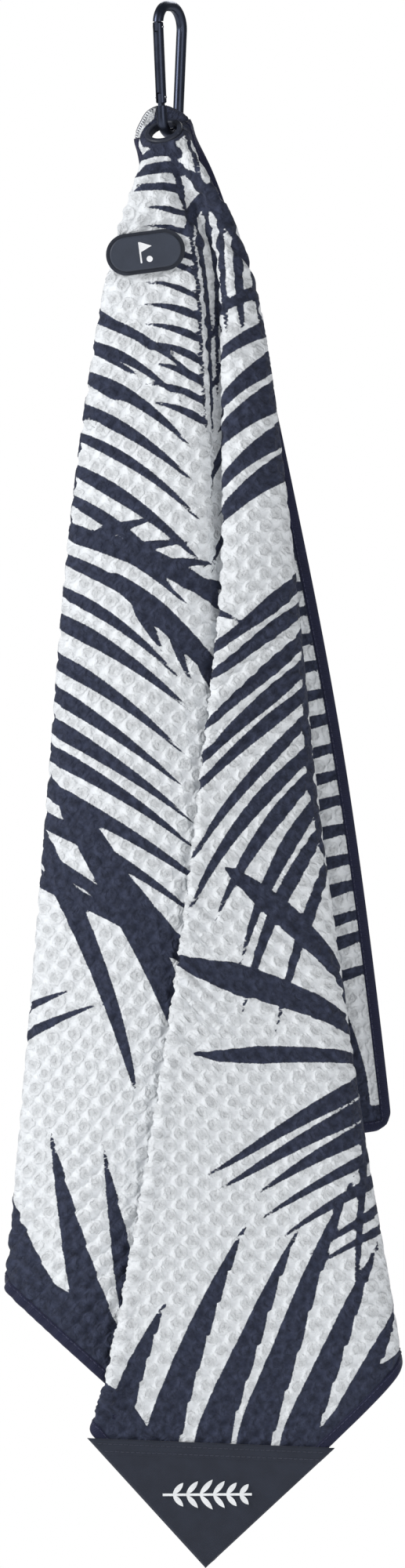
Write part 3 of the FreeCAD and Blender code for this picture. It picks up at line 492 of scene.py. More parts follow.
# The leaves on the two lobes in front.
FRONT_LEAVES = [
    # below the grommet: dark bands across the left lobe, parted by thin lines
    leaf((-4, 37), (17, 33), 2.5, 0.08, 0.2, 0.0, 1.0),
    leaf((-4, 44), (21, 40), 2.9, 0.08, 0.2, 0.0, 1.0),
    leaf((1, 53), (23, 47), 2.2, 0.10, 0.35, 0.0, 1.0),
    # left lobe, top: leaflets that reach in from the valley
    *frond((-2, 52), (15, 172), 0.03, 12, 1, (106, 118), (24, 30), (2.0, 2.5), 0.12, 3),
    # between the grommet and the crossing: narrow leaves down the recess
    leaf((-3, 26), (1, 74), 2.3, 0.04, 0.4),
    leaf((-9, 22), (-13, 58), 1.7, -0.05, 0.4),
    leaf((-16, 14), (-19, 62), 2.0, -0.04, 0.4),
    leaf((-24, 18), (-24, 64), 2.2, 0.03, 0.4),
    leaf((-34, 20), (-35, 62), 2.6, 0.0, 0.4),
    # the crossing: two broad bands
    leaf((-8, 46), (-38, 104), 4.6, -0.10, 0.25),
    leaf((3, 72), (-30, 44), 3.8, -0.05, 0.25),
    # below the crossing: strips down the recess
    *[leaf(*ends, 0.03, 0.3) for ends in (
        ((-5, 64), (0, 128), 2.1), ((-13, 60), (-9, 126), 2.5), ((-20, 62), (-15, 126), 1.9),
        ((-27, 66), (-22, 124), 2.7), ((-36, 68), (-32, 120), 3.4))],
    # painted shade in print colour: a broad dark strip that stands for the shadow down the recess
    leaf((-2, 76), (7, 172), 3.2, 0.0, 0.35),
    leaf((-8, 100), (1, 158), 1.8, 0.0, 0.4),
    # left lobe: long leaflets from the outer roll, down to the right
    *frond((55, 92), (146, 362), -0.02, 19, -1, (58, 70), (58, 132), (3.4, 5.4), 0.07, 5, 2.0),
    # a thick stalk across the left lobe, with leaflets towards the valley
    *frond((84, 206), (4, 262), -0.08, 5, -1, (30, 24), (34, 24), (4.2, 2.8), 0.05, 8, 5.6),
    *frond((66, 232), (6, 306), -0.06, 4, 1, (24, 18), (34, 24), (4.2, 2.6), 0.05, 9, 5.6),
    # right lobe, top: bands that rise out of the valley and bend over to the right
    *[leaf(*ends, 0.22, 0.95, 0.0, 0.8) for ends in (
        ((-50, 100), (8, 136), 4.2), ((-54, 118), (9, 158), 5.2), ((-60, 132), (6, 178), 7.6),
        ((-64, 148), (18, 204), 10.0), ((-66, 168), (10, 214), 8.6), ((-68, 182), (20, 240), 9.4))],
    # right lobe, middle: long leaflets from the right-hand roll
    *frond((-46, 236), (-74, 384), 0.02, 11, 1, (62, 38), (72, 112), (5.6, 4.2), 0.05, 14, 5.0),
    # right lobe: three broad single leaves
    leaf((-20, 384), (-88, 462), 7.6, -0.10, 0.4, 0.4, 0.15),
    leaf((16, 429), (-92, 474), 9.4, -0.10, 0.45, 0.5, 0.1),
    leaf((12, 475), (-100, 480), 5.0, -0.04, 0.4, 0.0, 0.1),
    # right lobe: leaflets that sweep down to the left
    *frond((-94, 474), (-96, 560), -0.05, 7, 1, (73, 58), (124, 54), (6.4, 3.0), 0.05, 17, 2.4),
    leaf((-76, 500), (-66, 600), 2.4, 0.06, 0.4),
    # right lobe, bottom: torn leaves that stand up out of the solid corner
    *[leaf((base_c, 700 - 0.15 * abs(base_c)), tip, 12.4, -0.10, 0.85, 0.9) for base_c, tip in (
        (56, (27, 592)), (30, (-12, 552)), (6, (-38, 556)), (-16, (-66, 532)),
        (-38, (-80, 562)), (-58, (-92, 590)), (-74, (-100, 612)))],
    # left lobe, middle: a stalk with hanging leaflets, and two great leaves
    *frond((106, 322), (50, 424), 0.05, 6, -1, (-10, 14), (96, 44), (4.8, 3.2), 0.06, 21, 3.4),
    leaf((98, 336), (46, 516), 9.6, -0.06, 0.45),
    leaf((118, 340), (86, 478), 6.4, -0.05, 0.5),
    # left lobe, bottom: leaves that stand up out of the dark hem
    *[leaf((base_c, 724 - base_c), tip, 12.5, -0.07, 0.85, 0.5) for base_c, tip in (
        (56, (104, 500)), (84, (130, 488)), (112, (158, 500)), (138, (172, 528)), (160, (184, 548)))],
]

# Fronds on the parts folded behind, as frond() takes them, for the side that lies to the left.
SIDE_FRONDS = [
    # leaflets square to the free hem
    ((70, 74), (306, 310), 0.0, 25, -1, (84, 78), (66, 84), (3.8, 4.0), 0.04, 31, 2.2),
    # leaves that fan out of the side corner
    ((352, 362), (262, 352), 0.06, 8, -1, (34, 62), (60, 70), (5.0, 4.0), 0.06, 41, 2.4),
    # between the hem and the roll
    ((150, 222), (236, 376), -0.05, 10, -1, (52, 64), (46, 74), (4.4, 4.6), 0.06, 51, 2.6),
    ((246, 372), (150, 452), 0.08, 8, -1, (58, 44), (44, 60), (4.6, 4.2), 0.07, 61, 2.8),
    ((236, 410), (160, 530), -0.06, 8, 1, (50, 58), (46, 54), (4.4, 3.8), 0.06, 71, 2.6),
]


def side_prints():
    """SIDE_FRONDS on both sides of the cloth, mirrored, each with its own random draws."""
    leaves = []
    for mirror in (-1, 1):
        for (c, d), (end_c, end_d), bow, count, side, lean, *sizes, curl, seed, stalk in SIDE_FRONDS:
            leaves += frond((mirror * c, d), (mirror * end_c, end_d), bow * mirror, count, side * mirror,
                            lean, *sizes, curl, seed + mirror, stalk)
    return leaves


def leaf_edge(c, d, shape):
    """Distance in millimetres to the leaf's outline, below zero inside it."""
    start, middle, end, half_width, taper, torn, root = shape
    t = np.linspace(0, 1, CURVE_STEPS + 1)[:, None]
    line = bent_line(start, middle, end, t)
    best = np.full(c.shape, SOLID)
    for k in range(CURVE_STEPS):
        a, run = line[k], line[k + 1] - line[k]
        across_c, across_d = c - a[0], d - a[1]
        share = np.clip((across_c * run[0] + across_d * run[1]) / (run @ run), 0, 1)
        gone = (k + share) / CURVE_STEPS
        swell = root + (1 - root) * np.clip(gone / 0.3, 0, 1) ** 0.7
        width = half_width * swell * np.clip(1 - gone, 0, 1) ** taper
        if torn:
            one_side = (across_c * run[1] - across_d * run[0]) > 0
            tooth = (gone * TEETH + 0.37 * half_width) % 1.0
            width = width - np.where(one_side, torn * tooth * tooth * 1.6, 0)
        best = np.minimum(best, np.hypot(across_c - share * run[0], across_d - share * run[1]) - width)
    return best


def print_edge(u, v):
    """How far each flat point lies outside the dark print, in millimetres."""
    d, c = down_and_across(u, v)
    edge = np.full(u.shape, SOLID)
    for shape in FRONT_LEAVES + side_prints():
        low = np.minimum(np.minimum(shape[0], shape[1]), shape[2]) - shape[3] - 6
        high = np.maximum(np.maximum(shape[0], shape[1]), shape[2]) + shape[3] + 6
        near = (c > low[0]) & (c < high[0]) & (d > low[1]) & (d < high[1])
        if near.any():
            edge[near] = np.minimum(edge[near], leaf_edge(c[near], d[near], shape))
    # the dark parts of the ground: under the corner patch, along the lower hems, behind the grommet
    edge = np.minimum(edge, 668 - d + 3 * np.sin(c / 7))
    edge = np.minimum(edge, 697 - 8 * np.tanh(c / 20) - d - np.abs(c) + 4 * np.sin(c / 9))
    edge = np.minimum(edge, np.hypot(c + 12, d - 14) - 15)
    edge = np.minimum(edge, np.hypot(c - 1, d - 22) - 12)
    return edge


# ---------------- shader building

def rgba(colour):
    """Linear colour with alpha, from a hex code or a linear colour; a node's output passes through."""
    if isinstance(colour, str):
        shares = [int(colour[k:k + 2], 16) / 255 for k in (0, 2, 4)]
        colour = tuple(s / 12.92 if s <= 0.04045 else ((s + 0.055) / 1.055) ** 2.4 for s in shares)
    return (*colour, 1.0) if isinstance(colour, tuple) else colour


class Shader:
    """A Principled material and a short way to write the nodes that drive it."""

    def __init__(self, name, **uniform):
        self.material = bpy.data.materials.new(name)
        self.material.use_nodes = True
        self.tree = self.material.node_tree
        self.principled = self.tree.nodes["Principled BSDF"]
        for socket, value in uniform.items():
            self.principled.inputs[socket.replace("_", " ")].default_value = value

    def add(self, kind, output, inputs, **settings):
        node = self.tree.nodes.new(kind)
        for key, value in settings.items():
            setattr(node, key, value)
        for socket, value in inputs.items():
            if isinstance(value, bpy.types.NodeSocket):
                self.tree.links.new(value, node.inputs[socket])
            else:
                node.inputs[socket].default_value = value
        return node.outputs[output]

    def attribute(self, name, output):
        return self.add("ShaderNodeAttribute", output, {}, attribute_name=name)

    def place(self):
        return self.add("ShaderNodeTexCoord", "Object", {})

    def math(self, operation, a, b=0.0, c=0.0):
        return self.add("ShaderNodeMath", 0, {0: a, 1: b, 2: c}, operation=operation)

    def vector(self, operation, a, b=(0.0, 0.0, 0.0), output="Vector"):
        return self.add("ShaderNodeVectorMath", output, {0: a, 1: b}, operation=operation)

    def noise(self, place, size, detail=2.0, rough=0.5):
        """0 to 1, with lumps about size metres across."""
        return self.add("ShaderNodeTexNoise", "Fac",
                        {"Vector": place, "Scale": 1 / size, "Detail": detail, "Roughness": rough})

    def smooth(self, value, low, high, start=0.0, end=1.0):
        return self.add("ShaderNodeMapRange", "Result", {"Value": value, "From Min": low, "From Max": high,
                        "To Min": start, "To Max": end}, interpolation_type="SMOOTHSTEP")

    def mix(self, share, a, b):
        return self.add("ShaderNodeMix", 2, {0: share, 6: rgba(a), 7: rgba(b)}, data_type="RGBA")

    def shade(self, colour, share):
        """The colour, darkened where share is below one."""
        grey = self.add("ShaderNodeCombineColor", 0, {0: share, 1: share, 2: share})
        return self.add("ShaderNodeMix", 2, {0: 1.0, 6: rgba(colour), 7: grey},
                        data_type="RGBA", blend_type="MULTIPLY")

    def finish(self, colour=None, roughness=None, height=None, strength=1.0):
        """Height is in millimetres."""
        if colour is not None:
            self.tree.links.new(colour, self.principled.inputs["Base Color"])
        if roughness is not None:
            self.tree.links.new(roughness, self.principled.inputs["Roughness"])
        if height is not None:
            bump = self.add("ShaderNodeBump", 0, {"Strength": strength, "Distance": MM, "Height": height})
            self.tree.links.new(bump, self.principled.inputs["Normal"])
        return self.material


# ---------------- materials

WHITE_CLOTH = (0.83, 0.855, 0.88)
NAVY_PRINT = "1c2133"


def towel_fabric():
    s = Shader("waffle_cloth", Roughness=0.92, Sheen_Weight=0.05, Sheen_Roughness=0.5, Specular_IOR_Level=0.2)
    flat = s.attribute("flat", "Vector")
    warp = s.noise(flat, 2.6 * MM, 2)
    crinkle = s.noise(flat, 1.15 * MM, 3, 0.6)
    fibre = s.noise(flat, 0.4 * MM, 2)
    cell = s.vector("FRACTION", s.vector("MULTIPLY", flat, (1 / WAFFLE_PITCH,) * 3))
    radius = s.vector("LENGTH", s.vector("SUBTRACT", cell, (0.5, 0.5, 0.0)), output="Value")
    radius = s.math("MULTIPLY_ADD", s.math("SUBTRACT", warp, 0.5), 0.42, radius)
    pit = s.smooth(radius, 0.17, 0.36)
    ring = s.math("MULTIPLY", s.smooth(radius, 0.30, 0.40), s.smooth(radius, 0.52, 0.40))
    knot = s.smooth(radius, 0.12, 0.0)
    rough_share = s.smooth(radius, 0.62, 0.34, 0.25, 1.0)
    height = s.math("MULTIPLY_ADD", pit, 0.7, s.math("MULTIPLY", knot, 0.4))
    height = s.math("MULTIPLY_ADD", ring, 0.16, height)
    height = s.math("MULTIPLY_ADD", s.math("MULTIPLY", crinkle, rough_share), 1.0, height)
    height = s.math("MULTIPLY_ADD", fibre, 0.07, height)

    edge = s.attribute("print_edge", "Fac")
    edge = s.math("MULTIPLY_ADD", s.math("SUBTRACT", crinkle, 0.5), 1.1, edge)
    bare = s.smooth(edge, -0.22, 0.22)
    reverse = s.attribute("reverse", "Fac")
    navy = s.mix(reverse, NAVY_PRINT, "363b4d")
    navy = s.shade(navy, s.smooth(s.noise(flat, 3.4 * MM, 3), 0.25, 0.8, 0.65, 1.45))
    # painted shade: the white is darkened in the waffle's hollows and in the crinkle's low parts
    painted_hollow_shade = s.math("MULTIPLY_ADD", crinkle, 0.35, pit)
    white = s.shade(WHITE_CLOTH, s.smooth(painted_hollow_shade, 0.05, 0.75, 0.80, 1.0))
    return s.finish(colour=s.mix(bare, navy, white), height=height, strength=1.0)


def ribbed_fabric(name, colour, pitch, height, sheen, diagonal):
    """Tape or twill: ribs across the piece's own flat coordinates."""
    s = Shader(name, Roughness=0.72, Sheen_Weight=sheen, Sheen_Roughness=0.4, Specular_IOR_Level=0.35)
    flat = s.attribute("flat", "Vector")
    parts = s.add("ShaderNodeSeparateXYZ", 0, {0: flat}).node
    run = s.math("MULTIPLY_ADD", parts.outputs[1], diagonal, parts.outputs[0])
    rib = s.math("SINE", s.math("MULTIPLY", run, 2 * math.pi / pitch))
    weave = s.noise(flat, 0.5 * MM, 2)
    shade = s.smooth(s.math("MULTIPLY_ADD", weave, 1.4, rib), -1.0, 2.2, 0.72, 1.22)
    shade = s.math("MULTIPLY", shade, s.smooth(s.noise(flat, 9 * MM, 2), 0.3, 0.7, 0.9, 1.1))
    bump = s.math("MULTIPLY_ADD", rib, height, s.math("MULTIPLY", weave, 0.06))
    gloss = s.smooth(weave, 0.2, 0.8, 0.6, 0.85)
    return s.finish(colour=s.shade(colour, shade), roughness=gloss, height=bump)


def thread(name, colour):
    s = Shader(name, Roughness=0.6, Sheen_Weight=0.3, Specular_IOR_Level=0.4)
    place = s.place()
    grain = s.noise(place, 0.35 * MM, 2)
    tint = s.shade(colour, s.smooth(grain, 0.3, 0.7, 0.7, 1.25))
    return s.finish(colour=tint, height=s.math("MULTIPLY", grain, 0.08))


def finish_coat(name, colour, metallic, low, high, grain_size, grain_height, worn=None, **uniform):
    """Paint, anodising, print or bare metal: fine grain, cloudy gloss, worn edges in their own colour."""
    s = Shader(name, Metallic=metallic, **uniform)
    place = s.place()
    grain = s.noise(place, grain_size, 3)
    cloud = s.noise(place, 7 * MM, 3)
    shade = s.math("MULTIPLY", s.smooth(grain, 0.3, 0.7, 0.93, 1.07), s.smooth(cloud, 0.3, 0.7, 0.92, 1.1))
    tint = s.shade(colour, shade)
    if worn:
        edge = s.add("ShaderNodeNewGeometry", "Pointiness", {})
        rub = s.math("MULTIPLY", s.smooth(edge, 0.53, 0.62), s.smooth(cloud, 0.42, 0.62))
        tint = s.mix(rub, tint, worn)
    gloss = s.smooth(s.math("MULTIPLY_ADD", grain, 0.4, cloud), 0.4, 1.0, low, high)
    return s.finish(colour=tint, roughness=gloss, height=s.math("MULTIPLY", grain, grain_height))


# ---------------- cloth: mesh

CLOTH_HALF = 0.55 * MM
RELIEF = 0.72 * MM
HOLE_RADIUS = 7.6 * MM


def waffle(u, v, shift=0.0):
    """1 on the threads round each cell, -1 in the middle of its hollow."""
    a = (u / WAFFLE_PITCH + shift) % 1.0 - 0.5
    b = (v / WAFFLE_PITCH + shift) % 1.0 - 0.5
    return 2 * smoothstep(0.12, 0.46, np.hypot(a, b)) - 1


def grid_quads(rows, columns):
    index = np.arange(rows * columns).reshape(rows, columns)
    return np.stack([index[:-1, :-1], index[1:, :-1], index[1:, 1:], index[:-1, 1:]], axis=-1).reshape(-1, 4)


def mesh_from_arrays(name, vertices, quads, flat=None):
    """A smooth-shaded piece; flat is its own fabric coordinates, in metres."""
    mesh = bpy.data.meshes.new(name)
    mesh.vertices.add(len(vertices))
    mesh.vertices.foreach_set("co", np.asarray(vertices, np.float32).ravel())
    mesh.loops.add(quads.size)
    mesh.loops.foreach_set("vertex_index", quads.astype(np.int32).ravel())
    mesh.polygons.add(len(quads))
    mesh.polygons.foreach_set("loop_start", np.arange(0, quads.size, 4, dtype=np.int32))
    mesh.update(calc_edges=True)
    mesh.shade_smooth()
    piece = add_object(name, mesh)
    if flat is not None:
        set_attribute(piece, "flat", "FLOAT_VECTOR", flat)
    return piece


def set_attribute(piece, name, kind, values):
    attribute = piece.data.attributes.new(name, kind, "POINT")
    key = "vector" if kind == "FLOAT_VECTOR" else "value"
    attribute.data.foreach_set(key, np.asarray(values, np.float32).ravel())


def closed_sheet(front_quads, count):
    """Both faces of a sheet and the wall round every free edge; the back starts at count."""
    edges = np.stack([front_quads, np.roll(front_quads, -1, axis=1)], axis=-1).reshape(-1, 2)
    key = edges[:, 0] * count + edges[:, 1]
    free = edges[~np.isin(key, edges[:, 1] * count + edges[:, 0])]
    wall = np.stack([free[:, 1], free[:, 0], free[:, 0] + count, free[:, 1] + count], axis=-1)
    return np.concatenate([front_quads, front_quads[:, ::-1] + count, wall])


def drop_unused(quads, *arrays):
    """The faces, renumbered, and each array's rows, with the vertices no face uses left out."""
    used = np.unique(quads)
    place = np.zeros(used.max() + 1, int)
    place[used] = np.arange(len(used))
    return (place[quads],) + tuple(a[used] for a in arrays)


def join_runs(*runs):
    """Vertices and faces of several runs as one mesh."""
    starts = np.cumsum([0] + [len(vertices) for vertices, quads in runs])
    return (np.vstack([vertices for vertices, quads in runs]),
            np.concatenate([quads + start for (vertices, quads), start in zip(runs, starts)]))


def dress(piece, slot_name, material, *cad_nodes, body="towel"):
    """Give a piece its material and body, and hide the CAD nodes that it stands for; slot_name is not used.
    """
    piece.data.materials.append(material)
    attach(piece, body)
    if cad_nodes:
        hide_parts(*cad_nodes)
    return piece


def make_cloth(points, normal):
    u, v = flat_sheet(FINE_CELLS)
    from_hem = np.minimum(np.minimum(u, v), np.minimum(SIDE - u, SIDE - v))
    from_eyelet = np.hypot(u - EYELET_P / math.sqrt(2), v - EYELET_P / math.sqrt(2))
    # the weave lies flat under the binding, under the grommet's rim and on the flap above it
    fade = smoothstep(2 * MM, 8 * MM, from_hem) * smoothstep(9 * MM, 15 * MM, from_eyelet)
    fade *= smoothstep(13 * MM, 22 * MM, (u + v) / math.sqrt(2))
    front = CLOTH_HALF + waffle(u, v) * RELIEF * fade
    back = CLOTH_HALF + waffle(u, v, 0.5) * RELIEF * fade
    quads = grid_quads(*u.shape)
    quads = quads[(from_eyelet.ravel()[quads] > HOLE_RADIUS).all(axis=1)]
    vertices = np.vstack([(points + normal * front[..., None]).reshape(-1, 3),
                          (points - normal * back[..., None]).reshape(-1, 3)])
    flat = np.stack([u, v, np.zeros_like(u)], axis=-1).reshape(-1, 3)
    edge = print_edge(u, v).ravel()
    reverse = np.concatenate([np.zeros(u.size), np.ones(u.size)])
    quads, vertices, flat, edge, reverse = drop_unused(
        closed_sheet(quads, u.size), vertices, np.vstack([flat, flat]), np.concatenate([edge, edge]), reverse)
    cloth = mesh_from_arrays("towel", vertices, quads, flat)
    set_attribute(cloth, "print_edge", "FLOAT", edge)
    set_attribute(cloth, "reverse", "FLOAT", reverse)
    return dress(cloth, "towel_fabric", towel_fabric(),
                 "towel_front_panel", "towel_right_fold", "towel_left_fold")


# ---------------- hem: binding, stitches, overlock

OVERLOCK_REACH = 18.5 * MM
# (inwards from the hem, outwards beyond it, height above the middle surface), in millimetres
BINDING_TOP = [(4.3, 0, 0.45), (4.25, 0, 0.95), (3.9, 0, 1.18), (3.2, 0, 1.12), (2.2, 0, 1.25),
               (1.0, 0, 1.32), (0.2, 0.1, 1.25), (0, 0.7, 0.85), (0, 0.98, 0.3)]
BINDING_SECTION = BINDING_TOP + [(inwards, outwards, -up) for inwards, outwards, up in BINDING_TOP[::-1]]


class Hem:
    """Places round the hem: s runs from the grommet corner down the right-hand hem, round and back."""

    def __init__(self, points, normal):
        n = points.shape[0] - 1
        line, low, high = np.arange(n), np.zeros(n, int), np.full(n, n)
        i = np.concatenate([line, high, n - line, low, [0]])
        j = np.concatenate([low, line, high, n - line, [0]])
        self.rings = [points[np.clip(i, k, n - k), np.clip(j, k, n - k)] for k in range(4)]
        self.normals = [normal[np.clip(i, k, n - k), np.clip(j, k, n - k)] for k in range(4)]
        self.run = np.concatenate([[0], np.cumsum(np.linalg.norm(np.diff(self.rings[0], axis=0), axis=1))])
        self.length = self.run[-1]
        self.cell = SIDE / n

    def sample(self, field, s):
        s = np.mod(s, self.length)
        return np.stack([np.interp(s, self.run, field[:, axis]) for axis in range(3)], axis=-1)

    def place(self, s, inwards, outwards, height):
        """All in metres; inwards follows the cloth, outwards goes straight on beyond the hem."""
        ring = np.clip(inwards / self.cell, 0, 2.999)
        k = int(ring)
        share = ring - k
        middle = self.sample(self.rings[k], s) * (1 - share) + self.sample(self.rings[k + 1], s) * share
        up = unit(self.sample(self.normals[k], s) * (1 - share) + self.sample(self.normals[k + 1], s) * share)
        out = self.sample(self.rings[0], s) - self.sample(self.rings[2], s)
        out = unit(out - up * (out * up).sum(axis=-1, keepdims=True))
        return middle + out * outwards + up * height


def tube_quads(rings, sides):
    """Skin over rings of vertices, with both ends closed by strips of quads."""
    index = np.arange(rings * sides).reshape(rings, sides)
    ahead = np.roll(index, -1, axis=1)
    skin = np.stack([index[:-1], ahead[:-1], ahead[1:], index[1:]], axis=-1).reshape(-1, 4)
    caps = []
    for ring, turn in ((index[0], -1), (index[-1], 1)):
        for k in range(1, sides // 2):
            cap = [ring[k - 1], ring[k], ring[sides - 1 - k], ring[sides - k]]
            caps.append(cap[::turn])
    return np.concatenate([skin, np.array(caps)])


def make_binding(hem):
    """Folded tape round the hem, its section swept along it with a slight slow swell on its faces."""
    s = np.arange(OVERLOCK_REACH, hem.length - OVERLOCK_REACH, 1.3 * MM)
    rows = []
    for number, (inwards, outwards, height) in enumerate(BINDING_SECTION):
        swell = 1 + 0.05 * np.sin(s / (5.2 * MM) + number) * (abs(height) > 1)
        rows.append(hem.place(s, inwards * MM, outwards * MM, (height * swell * MM)[:, None]))
    vertices = np.stack(rows, axis=1)
    across = np.cumsum([0] + [math.dist(a, b) for a, b in zip(BINDING_SECTION, BINDING_SECTION[1:])]) * MM
    flat = np.stack([np.repeat(s[:, None], len(rows), 1), np.repeat(across[None], len(s), 0),
                     np.zeros((len(s), len(rows)))], axis=-1)
    quads = tube_quads(len(s), len(rows))
    binding = mesh_from_arrays("hem_binding", vertices.reshape(-1, 3), quads, flat.reshape(-1, 3))
    tape = ribbed_fabric("hem_tape", "181c38", 0.9 * MM, 0.05, 0.25, 0.0)
    return dress(binding, "binding_fabric", tape, "edge_binding")


def stitch_run(starts, ends, ups, radius):
    """Short plump threads from start to end, bowed up in the middle; none where the two meet."""
    sewn = np.linalg.norm(ends - starts, axis=-1) > radius
    starts, ends, ups = starts[sewn], ends[sewn], ups[sewn]
    vertices = []
    sides, rings = 6, 5
    across = unit(np.cross(ends - starts, ups))
    for ring in range(rings):
        t = ring / (rings - 1)
        girth = radius * (0.35 + 0.65 * math.sin(math.pi * (0.1 + 0.8 * t)))
        lift = radius * 1.1 * math.sin(math.pi * t)
        middle = starts * (1 - t) + ends * t + ups * lift
        for side in range(sides):
            turn = 2 * math.pi * side / sides
            vertices.append(middle + across * girth * math.cos(turn) + ups * girth * math.sin(turn))
    vertices = np.stack(vertices, axis=1).reshape(-1, 3)
    one = tube_quads(rings, sides)
    quads = (one[None] + np.arange(len(starts))[:, None, None] * rings * sides).reshape(-1, 4)
    return vertices, quads


def make_hem_stitches(hem):
    """A row of machine stitches on each face of the binding."""
    pitch, length, row = 2.7 * MM, 2.0 * MM, 3.3 * MM
    s = np.arange(OVERLOCK_REACH + 2 * MM, hem.length - OVERLOCK_REACH - 2 * MM, pitch)
    runs = []
    for face in (1, -1):
        low = 1.12 * face * MM
        starts, ends = hem.place(s, row, 0, low), hem.place(s + length, row, 0, low)
        ups = unit(hem.place(s, row, 0, low + face * MM) - starts)
        runs.append(stitch_run(starts, ends, ups, 0.24 * MM))
    stitches = mesh_from_arrays("hem_stitches", *join_runs(*runs))
    return dress(stitches, "binding_fabric", thread("hem_thread", "20254a"))


def thread_tube(line, radius, sides=7):
    """Vertices and faces of a tube along a line of points."""
    tangent = unit(np.gradient(line, axis=0))
    guide = np.array([0.31, 0.22, 0.93])
    first = unit(np.cross(tangent, guide))
    second = np.cross(tangent, first)
    turn = 2 * math.pi * np.arange(sides) / sides
    cos, sin = np.cos(turn)[None, :, None], np.sin(turn)[None, :, None]
    ring = (cos * first[:, None] + sin * second[:, None]) * radius
    return (line[:, None] + ring).reshape(-1, 3), tube_quads(len(line), sides)


def make_overlock(hem):
    """Thread wound over the rounded corner behind the grommet, with a chain along the edge."""
    reach = OVERLOCK_REACH + 1.0 * MM
    pitch, steps = 1.25 * MM, 14
    s = np.linspace(-reach, reach, int(2 * reach / pitch) * steps)
    phase = 2 * math.pi * s / pitch
    wound = np.array([hem.place(np.array([at]), (0.95 - 0.9 * math.cos(f)) * MM,
                                0.0, 0.5 * math.sin(f) * MM)[0]
                      for at, f in zip(s, phase)])
    chain = hem.place(s, 0.0, 0.1 * MM, (0.2 * np.sin(phase / 2) * MM)[:, None])
    overlock = mesh_from_arrays("corner_overlock_thread",
                                *join_runs(thread_tube(wound, 0.24 * MM), thread_tube(chain, 0.3 * MM)))
    return dress(overlock, "binding_fabric", thread("overlock_thread", "1b2036"), "corner_overlock")


# ---------------- corner patch

# In metres. The patch reaches PATCH_LIP below the cloth's corner, and on its right-hand side it
# stands back by RIGHT_INSET and leaves the binding in view. SEAM_DROPS, in millimetres, are below
# its top edge.
PATCH_LEG = 86 * MM
PATCH_RISE = PATCH_LEG / math.sqrt(2)
PATCH_BACK = 1.45 * MM
PATCH_THICKNESS = 0.9 * MM
PATCH_LIP = 0.95 * MM
RIGHT_INSET = 1.3 * MM
SEAM_DROPS = (2.5, 6.1)


def patch_place(x, y, z):
    """From the patch's own frame (metres; x right, y up, z out of its face) to the scene."""
    tip = np.array(TIP) * MM + PATCH_OUT * PATCH_BACK
    return tip + x[..., None] * PATCH_ACROSS + y[..., None] * PATCH_UP + z[..., None] * PATCH_OUT


def patch_surface(x, y):
    """Height of the patch's face: soft waves, and the turned hem along its top edge."""
    wave = 0.16 * np.sin(x / (9 * MM) + y / (17 * MM)) + 0.10 * np.sin(x / (4.1 * MM) - y / (7 * MM))
    down = (PATCH_RISE - y) / MM
    hem = 0.75 * smoothstep(7.6, 6.9, down) * smoothstep(-0.1, 0.7, down)
    seam = 0.22 * sum(np.exp(-((down - drop) / 0.5) ** 2) for drop in SEAM_DROPS)
    return PATCH_THICKNESS + (wave * smoothstep(0, 12, y / MM) * 0.6 + hem - seam) * MM


def make_patch():
    """A triangle of twill, edges turned under and the hem along its top turned and stitched."""
    rows, columns = 110, 121
    t, share = np.meshgrid(np.linspace(-1, 1, columns), np.linspace(0, 1, rows))
    y = share ** 0.9 * (PATCH_RISE + PATCH_LIP) - PATCH_LIP
    half = y + PATCH_LIP + 0.25 * MM
    x = half * np.sin(t * math.pi / 2 * 0.999) * 0.12 + half * t * 0.88
    from_leg = (half - np.abs(x)) / math.sqrt(2)
    x = x - RIGHT_INSET * (x + half) / (2 * half)
    edge = smoothstep(0, 1.1, from_leg / MM)
    front = patch_surface(x, y) - (1 - edge) * 1.1 * MM
    back = np.where(from_leg < 1.0 * MM, -0.6 * MM, 0.05 * MM)
    top_roll = smoothstep(0.8, 0.0, (PATCH_RISE - y) / MM)
    front = front - top_roll * 0.35 * MM
    vertices = np.vstack([patch_place(x, y, front).reshape(-1, 3), patch_place(x, y, back).reshape(-1, 3)])
    quads = closed_sheet(grid_quads(rows, columns)[:, ::-1], rows * columns)
    flat = np.stack([x, y, np.zeros_like(x)], axis=-1).reshape(-1, 3)
    patch = mesh_from_arrays("tip_patch", vertices, quads, np.vstack([flat, flat]))
    twill = ribbed_fabric("patch_twill", "282d3a", 0.8 * MM, 0.035, 0.12, 1.0)
    return dress(patch, "patch_fabric", twill, "corner_patch", "patch_hem_tape")


def make_patch_stitches():
    """Two rows of machine stitches along the hem."""
    pitch, length = 2.6 * MM, 1.9 * MM
    runs = []
    for drop in SEAM_DROPS:
        reach = PATCH_RISE - drop * MM - 1.5 * MM
        x = np.arange(-reach, reach - length, pitch)
        y = np.full_like(x, PATCH_RISE - drop * MM)
        starts = patch_place(x, y, patch_surface(x, y))
        ends = patch_place(x + length, y, patch_surface(x + length, y))
        runs.append(stitch_run(starts, ends, np.repeat(PATCH_OUT[None], len(x), 0), 0.2 * MM))
    stitches = mesh_from_arrays("patch_stitches", *join_runs(*runs))
    return dress(stitches, "patch_thread", thread("patch_thread", "2a3044"), "patch_stitching")


# ---------------- hardware

SPRING_WIRE = 0.2 * MM
SPRING_RADIUS = 0.72 * MM
SPRING_TURNS = 8.0
GATE_AXIS = np.array([-0.0418, -0.0725, 0.9965])


